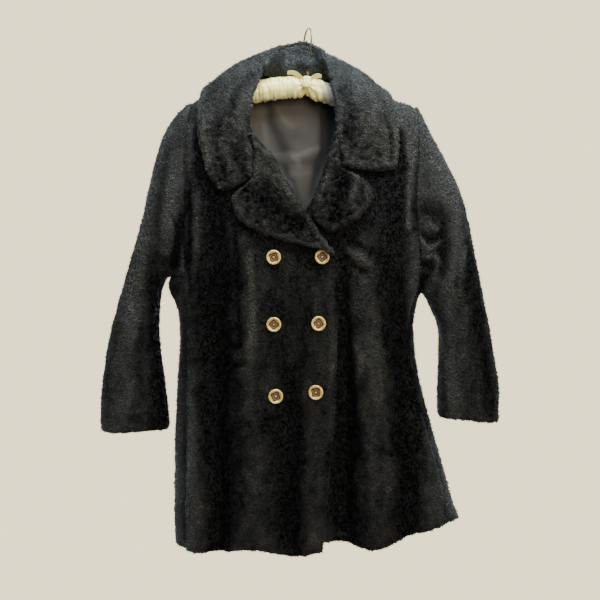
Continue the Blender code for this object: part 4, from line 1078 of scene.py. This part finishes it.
def gathered(mesh):
    """Satin gathers: fine and even on the image's left arm, wide and smooth on the other, pulled in at a seam
    near the top, along the bottom and at the knot. Lifts are in mm, and v goes from -1 at the pad's lower
    edge to 1 at its upper one."""
    at, out = places(mesh), normals(mesh)
    x, y, z = at.T
    bins = np.round(x / PAD_STEP).astype(int)
    keys = np.unique(bins)
    tops = np.array([z[bins == k].max() for k in keys])
    lows = np.array([z[bins == k].min() for k in keys])
    high = np.interp(x / PAD_STEP, keys, (tops + lows) / 2)
    half = np.interp(x / PAD_STEP, keys, (tops - lows) / 2)
    v = (z - high) / np.maximum(half, 4 * MM)
    face = np.sign(y)
    fine = noises(np.stack([x / FINE_GATHER, v * 0.8, 5 + 9 * face], axis=1))
    wide = noises(np.stack([x / WIDE_GATHER + 0.8 * v, v * 0.7, 31 + 9 * face], axis=1))
    left = rise(KNOT_X - x, 0, 6 * MM)
    seam = bell(v, 0.66, 0.2) + bell(v, -0.9, 0.22)
    lift = left * 3.4 * (0.35 - np.abs(fine) * 1.8) + (1 - left) * 4.6 * wide + left * 2.0 * wide
    lift *= 0.5 + 0.8 * seam
    lift -= left * 1.5 * bell(v, 0.62, 0.09)
    lift -= 2.6 * bell(x, KNOT_X, 5 * MM) * (0.4 + 0.6 * (v < 0.3))
    lift -= 4.5 * bell(x, NOTCH_X, 3.5 * MM) * (0.1 - 2 * v).clip(0, 1)
    away = np.stack([x - KNOT_X, z - KNOT_Z], axis=1)
    fan = np.sin(11 * np.arctan2(away[:, 1], np.abs(away[:, 0]) + 1e-9) + 1.0)
    lift += 1.3 * fan * np.exp(-((np.linalg.norm(away, axis=1) - 9 * MM).clip(0, 1) / (12 * MM)))
    at += out * (lift * MM)[:, None]
    at[:, 2] += PAD_SAG * v.clip(-1, 0)
    move(mesh, at)


def hanger_pad():
    mesh = smoothed(swollen(NODES["hanger_pad"].data.copy()), 2)
    gathered(mesh)
    x, _, z = (places(mesh) / MM).T
    # Painted shade: the right end greyer where the collar's shadow falls on it, and the lower edge left of
    # the knot darker.
    grey = 0.62 * rise(x, 14, 26) + 0.25 * rise(-z, 120, 10) * (x < -10)
    painted(mesh, "turned", grey[:, None] * [1.0, 0.94, 0.05])
    dressed(mesh, IVORY)
    pad = show("hanger_pad_satin", mesh, ("hanger_pad",))


def bow_loop(name, middle, knot, top, tip, low):
    """A ribbon loop seen nearly edge-on: out along the upper curve, round the tip and back along the lower
    one. Its points are x, z, and all sizes are in mm."""
    rows = []
    for step in range(RIBBON_STEPS + 1):
        u = step / RIBBON_STEPS * 2
        along = math.sin(u * math.pi / 2)
        bend = top if u < 1 else low
        a, b, c = (1 - along) ** 2, 2 * along * (1 - along), along**2
        x = a * knot[0] + b * bend[0] + c * tip[0]
        z = a * knot[1] + b * bend[1] + c * tip[1]
        half = 1.4 + 2.0 * math.sin(math.pi * 0.86 * along**0.85)
        curl = 0.7 * math.sin(9 * along + knot[0])
        row = []
        for k in (-1, -0.5, 0, 0.5, 1):
            row.append((x, middle + half * k, z + curl * abs(k) * along - 2.4 * k * along**0.5))
        rows.append(row)
    bm = bmesh.new()
    grid = [[bm.verts.new([n * MM for n in p]) for p in row] for row in rows]
    for one, two in zip(grid, grid[1:]):
        for a, b, c, d in zip(one, one[1:], two[1:], two):
            bm.faces.new((a, b, c, d))
    mesh = closed(bm, bpy.data.meshes.new(name))
    dressed(mesh, IVORY)
    # Painted shade all over the loop.
    painted(mesh, "turned", np.tile(RIBBON_SHADE, (len(mesh.vertices), 1)))
    obj = show(name + "_ribbon", mesh, (name,))
    modified(obj, "soft", "SUBSURF", levels=1, render_levels=1)
    modified(obj, "wall", "SOLIDIFY", thickness=RIBBON_WALL, offset=0)


def bow_knot():
    """The ribbon drawn round the bow's middle: a small waisted wrap with lengthwise creases."""
    low, high = (Vector(p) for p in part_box("bow_knot"))
    middle, half = (low + high) / 2, (high - low) / 2
    bm = bmesh.new()
    bmesh.ops.create_uvsphere(bm, u_segments=48, v_segments=32, radius=1)
    for vert in bm.verts:
        x, y, z = vert.co
        turn = math.atan2(y, x)
        swell = (x * x + y * y) ** -0.22 if x or y else 1
        crease = 1 + 0.12 * math.sin(turn * 8 + 3 * z) + 0.07 * math.sin(turn * 15 - 4 * z + 1)
        waist = (1 - 0.2 * bell(z, 0.3, 0.3)) * crease * swell * 0.86
        vert.co = (
            middle.x + half.x * x * waist * 1.9,
            middle.y + half.y * y * waist,
            middle.z + half.z * (z * 1.6 - 1.1),
        )
    mesh = closed(bm, bpy.data.meshes.new("bow_knot"))
    dressed(mesh, IVORY)
    show("bow_knot_ribbon", mesh, ("bow_knot",))


def hanger_hook():
    mesh = NODES["hanger_hook"].data.copy()
    dressed(mesh, WIRE)
    show("hanger_hook_wire", mesh, ("hanger_hook",))


IVORY = ivory_satin()
WIRE = metal("wire_metal", (0.22, 0.17, 0.10), (0.34, 0.27, 0.16), 0.34, 0.9)
hanger_pad()
bow_loop("bow_loop_right", -12, (-5, -99), (-17, -79), (-37, -83), (-22, -83))
bow_loop("bow_loop_left", -12, (1, -98), (11, -84), (25, -90), (14, -90))
bow_knot()
hanger_hook()


# ---------------- buttons

# Rings of radius and height in mm: the rim from the middle of its front to the middle of its back, and the
# inset from its foot to its middle.
BUTTON_PROFILE = [
    (0, 2.0), (8.8, 2.0), (9.2, 2.3), (9.5, 3.2), (10.1, 3.9), (11.0, 4.25), (12.0, 4.0), (12.7, 3.3),
    (13.0, 2.3), (12.8, 1.4), (12.0, 0.7), (9.0, 0.3), (0, 0.2),
]
SQUARE_RINGS = [
    (7.5, 1.8), (7.3, 2.5), (6.2, 2.75), (5.5, 2.4), (5.3, 2.25), (3.9, 2.25), (3.7, 2.6), (2.6, 2.6),
    (2.4, 2.25), (1.3, 2.25), (1.1, 2.8), (0.5, 3.0),
]
RIM_SPOTS, SQUARE_SPOTS = 72, 64
SQUARE_POWER = 5.0
BUTTON_SET = 2.3  # how far behind its solid's middle a button's foot lies, in mm
BUTTON_TURNS = {"button_1": 14, "button_2": 40, "button_3": 43, "button_4": 38, "button_5": 20, "button_6": 6}


def circle(radius, angle):
    return radius * math.cos(angle), radius * math.sin(angle)


def soft_square(radius, angle):
    c, s = math.cos(angle), math.sin(angle)
    far = radius / (abs(c) ** SQUARE_POWER + abs(s) ** SQUARE_POWER) ** (1 / SQUARE_POWER)
    return far * c, far * s


def ring_of(bm, radius, height, spots, shape):
    """A ring's vertices, or one where its radius is 0."""
    if not radius:
        return [bm.verts.new(Vector((0, 0, height)) * MM)]
    turns = [2 * math.pi * k / spots for k in range(spots)]
    return [bm.verts.new(Vector((*shape(radius, turn), height)) * MM) for turn in turns]


def loft(bm, profile, spots, shape, material_of):
    """Closed form from rings, with a point at each end whose radius is 0 or a flat cap elsewhere."""
    rings = [ring_of(bm, radius, height, spots, shape) for radius, height in profile]
    for index, (one, two) in enumerate(zip(rings, rings[1:])):
        for k in range(spots):
            n = (k + 1) % spots
            corners = [one[k % len(one)], one[n % len(one)], two[n % len(two)], two[k % len(two)]]
            face = bm.faces.new(list(dict.fromkeys(corners)))
            face.material_index = material_of(index)
    for ring, index in ((rings[0], 0), (rings[-1], len(rings))):
        if len(ring) > 1:
            bm.faces.new(ring).material_index = material_of(index)


def square_material(index):
    """Dark in the grooves, gold in the middle and brown elsewhere."""
    if index in (0, 1, 2, 6, 7):
        return 1
    return 0 if index > 9 else 2


def front_axis(mesh):
    """The way a button's solid faces: the mean normal of what faces the front."""
    axis = Vector()
    for polygon in mesh.polygons:
        if polygon.normal.y < -0.7:
            axis += polygon.normal * polygon.area
    return axis.normalized()


def button(name, turn):
    """A lathed gold rim with an inset of nested soft squares, turned by some degrees."""
    axis = front_axis(NODES[name].data)
    low, high = (Vector(p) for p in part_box(name))
    bm = bmesh.new()
    loft(bm, BUTTON_PROFILE, RIM_SPOTS, circle, lambda index: 0)
    plate = bmesh.new()
    loft(plate, SQUARE_RINGS, SQUARE_SPOTS, soft_square, square_material)
    plate.transform(Matrix.Rotation(math.radians(turn), 4, "Z"))
    bm.from_mesh(closed(plate, bpy.data.meshes.new("inlay")))
    bmesh.ops.recalc_face_normals(bm, faces=bm.faces)
    face_out = axis.to_track_quat("Z", "X").to_matrix().to_4x4()
    bm.transform(Matrix.Translation((low + high) / 2 - axis * BUTTON_SET * MM) @ face_out)
    mesh = bpy.data.meshes.new(name)
    dressed(mesh, BUTTON_GOLD, BUTTON_DARK, BUTTON_BROWN)
    obj = show(name + "_moulded", closed(bm, mesh), (name,))
    modified(obj, "edge", "EDGE_SPLIT", split_angle=math.radians(50))


BUTTON_GOLD = metal("button_gold", (0.44, 0.27, 0.055), (0.70, 0.49, 0.15), 0.34, 0.4)
BUTTON_DARK = resin("button_dark", (0.007, 0.0035, 0.0012), (0.018, 0.009, 0.003))
BUTTON_BROWN = resin("button_brown", (0.090, 0.044, 0.016), (0.20, 0.110, 0.042))
for name, turn in BUTTON_TURNS.items():
    button(name, turn)


# ---------------- stage

WALL_COLOUR, WALL_LIGHT = (1.0, 0.868, 0.55, 1), 2.1
FLOOR_Z, FLOOR_RADIUS, FLOOR_COLOUR = -1.95, 1.6, (0.8, 0.79, 0.77, 1)


def add_light(name, at, target, size, power, colour):
    light = bpy.data.lights.new(name, "AREA")
    light.shape = "RECTANGLE"
    light.size, light.size_y = size
    light.energy = power
    light.color = colour
    lamp = placed(name, light)
    lamp.location = at
    lamp.rotation_euler = (Vector(target) - Vector(at)).to_track_quat("-Z", "Y").to_euler()


def make_world():
    """A pale wall all round where the camera looks, and a softer light that comes mostly from above and from
    the wall behind the coat."""
    world = bpy.data.worlds.new("studio")
    bpy.context.scene.world = world
    world.use_nodes = True
    tree = world.node_tree
    wall = tree.nodes["Background"]
    wall.inputs["Color"].default_value = WALL_COLOUR
    wall.inputs["Strength"].default_value = WALL_LIGHT
    way = node(tree, "ShaderNodeTexCoord").outputs["Generated"]
    split = node(tree, "ShaderNodeSeparateXYZ", way)
    height = node(tree, "ShaderNodeMapRange", Value=split.outputs["Z"], From_Min=-1.0)
    above = ramp(tree, height.outputs["Result"], [
        (0.0, (0.10, 0.095, 0.09)),
        (0.5, (0.30, 0.285, 0.26)),
        (0.75, (0.70, 0.74, 0.78)),
        (1.0, (0.95, 1.0, 1.06)),
    ])
    behind = ramp(tree, split.outputs["Y"], [(0.0, (0.0, 0.0, 0.0)), (0.9, (1.9, 2.2, 2.6))])
    both = node(tree, "ShaderNodeVectorMath", above, behind).outputs[0]
    soft = node(tree, "ShaderNodeBackground", both, Strength=1.0).outputs[0]
    seen = node(tree, "ShaderNodeLightPath").outputs["Is Camera Ray"]
    mix = node(tree, "ShaderNodeMixShader", seen, soft, wall.outputs[0])
    tree.links.new(mix.outputs[0], tree.nodes["World Output"].inputs["Surface"])


def make_stage():
    bpy.ops.mesh.primitive_circle_add(
        vertices=96, radius=FLOOR_RADIUS, fill_type="NGON", location=(0, 0, FLOOR_Z)
    )
    floor = bpy.context.object
    floor.name = "floor"
    floor.data.materials.append(principled("floor_paint", Roughness=0.8, Base_Color=FLOOR_COLOUR)[0])
    make_world()
    add_light("above", (0.25, -0.8, 1.05), (0, 0, -0.2), (1.6, 0.9), 82, (0.74, 0.90, 1.0))
    add_light("window", (0.8, -2.0, 0.0), (0, 0, -0.4), (1.2, 1.4), 42, (1.0, 0.90, 0.70))


def make_camera():
    lens = bpy.data.cameras.new("camera")
    lens.sensor_width = 36
    lens.lens = 40.5
    camera = placed("camera", lens)
    camera.location = (-0.015, -1.25, -0.50)
    camera.rotation_euler = (math.radians(90), math.radians(0.1), 0)
    bpy.context.scene.camera = camera


make_stage()
make_camera()
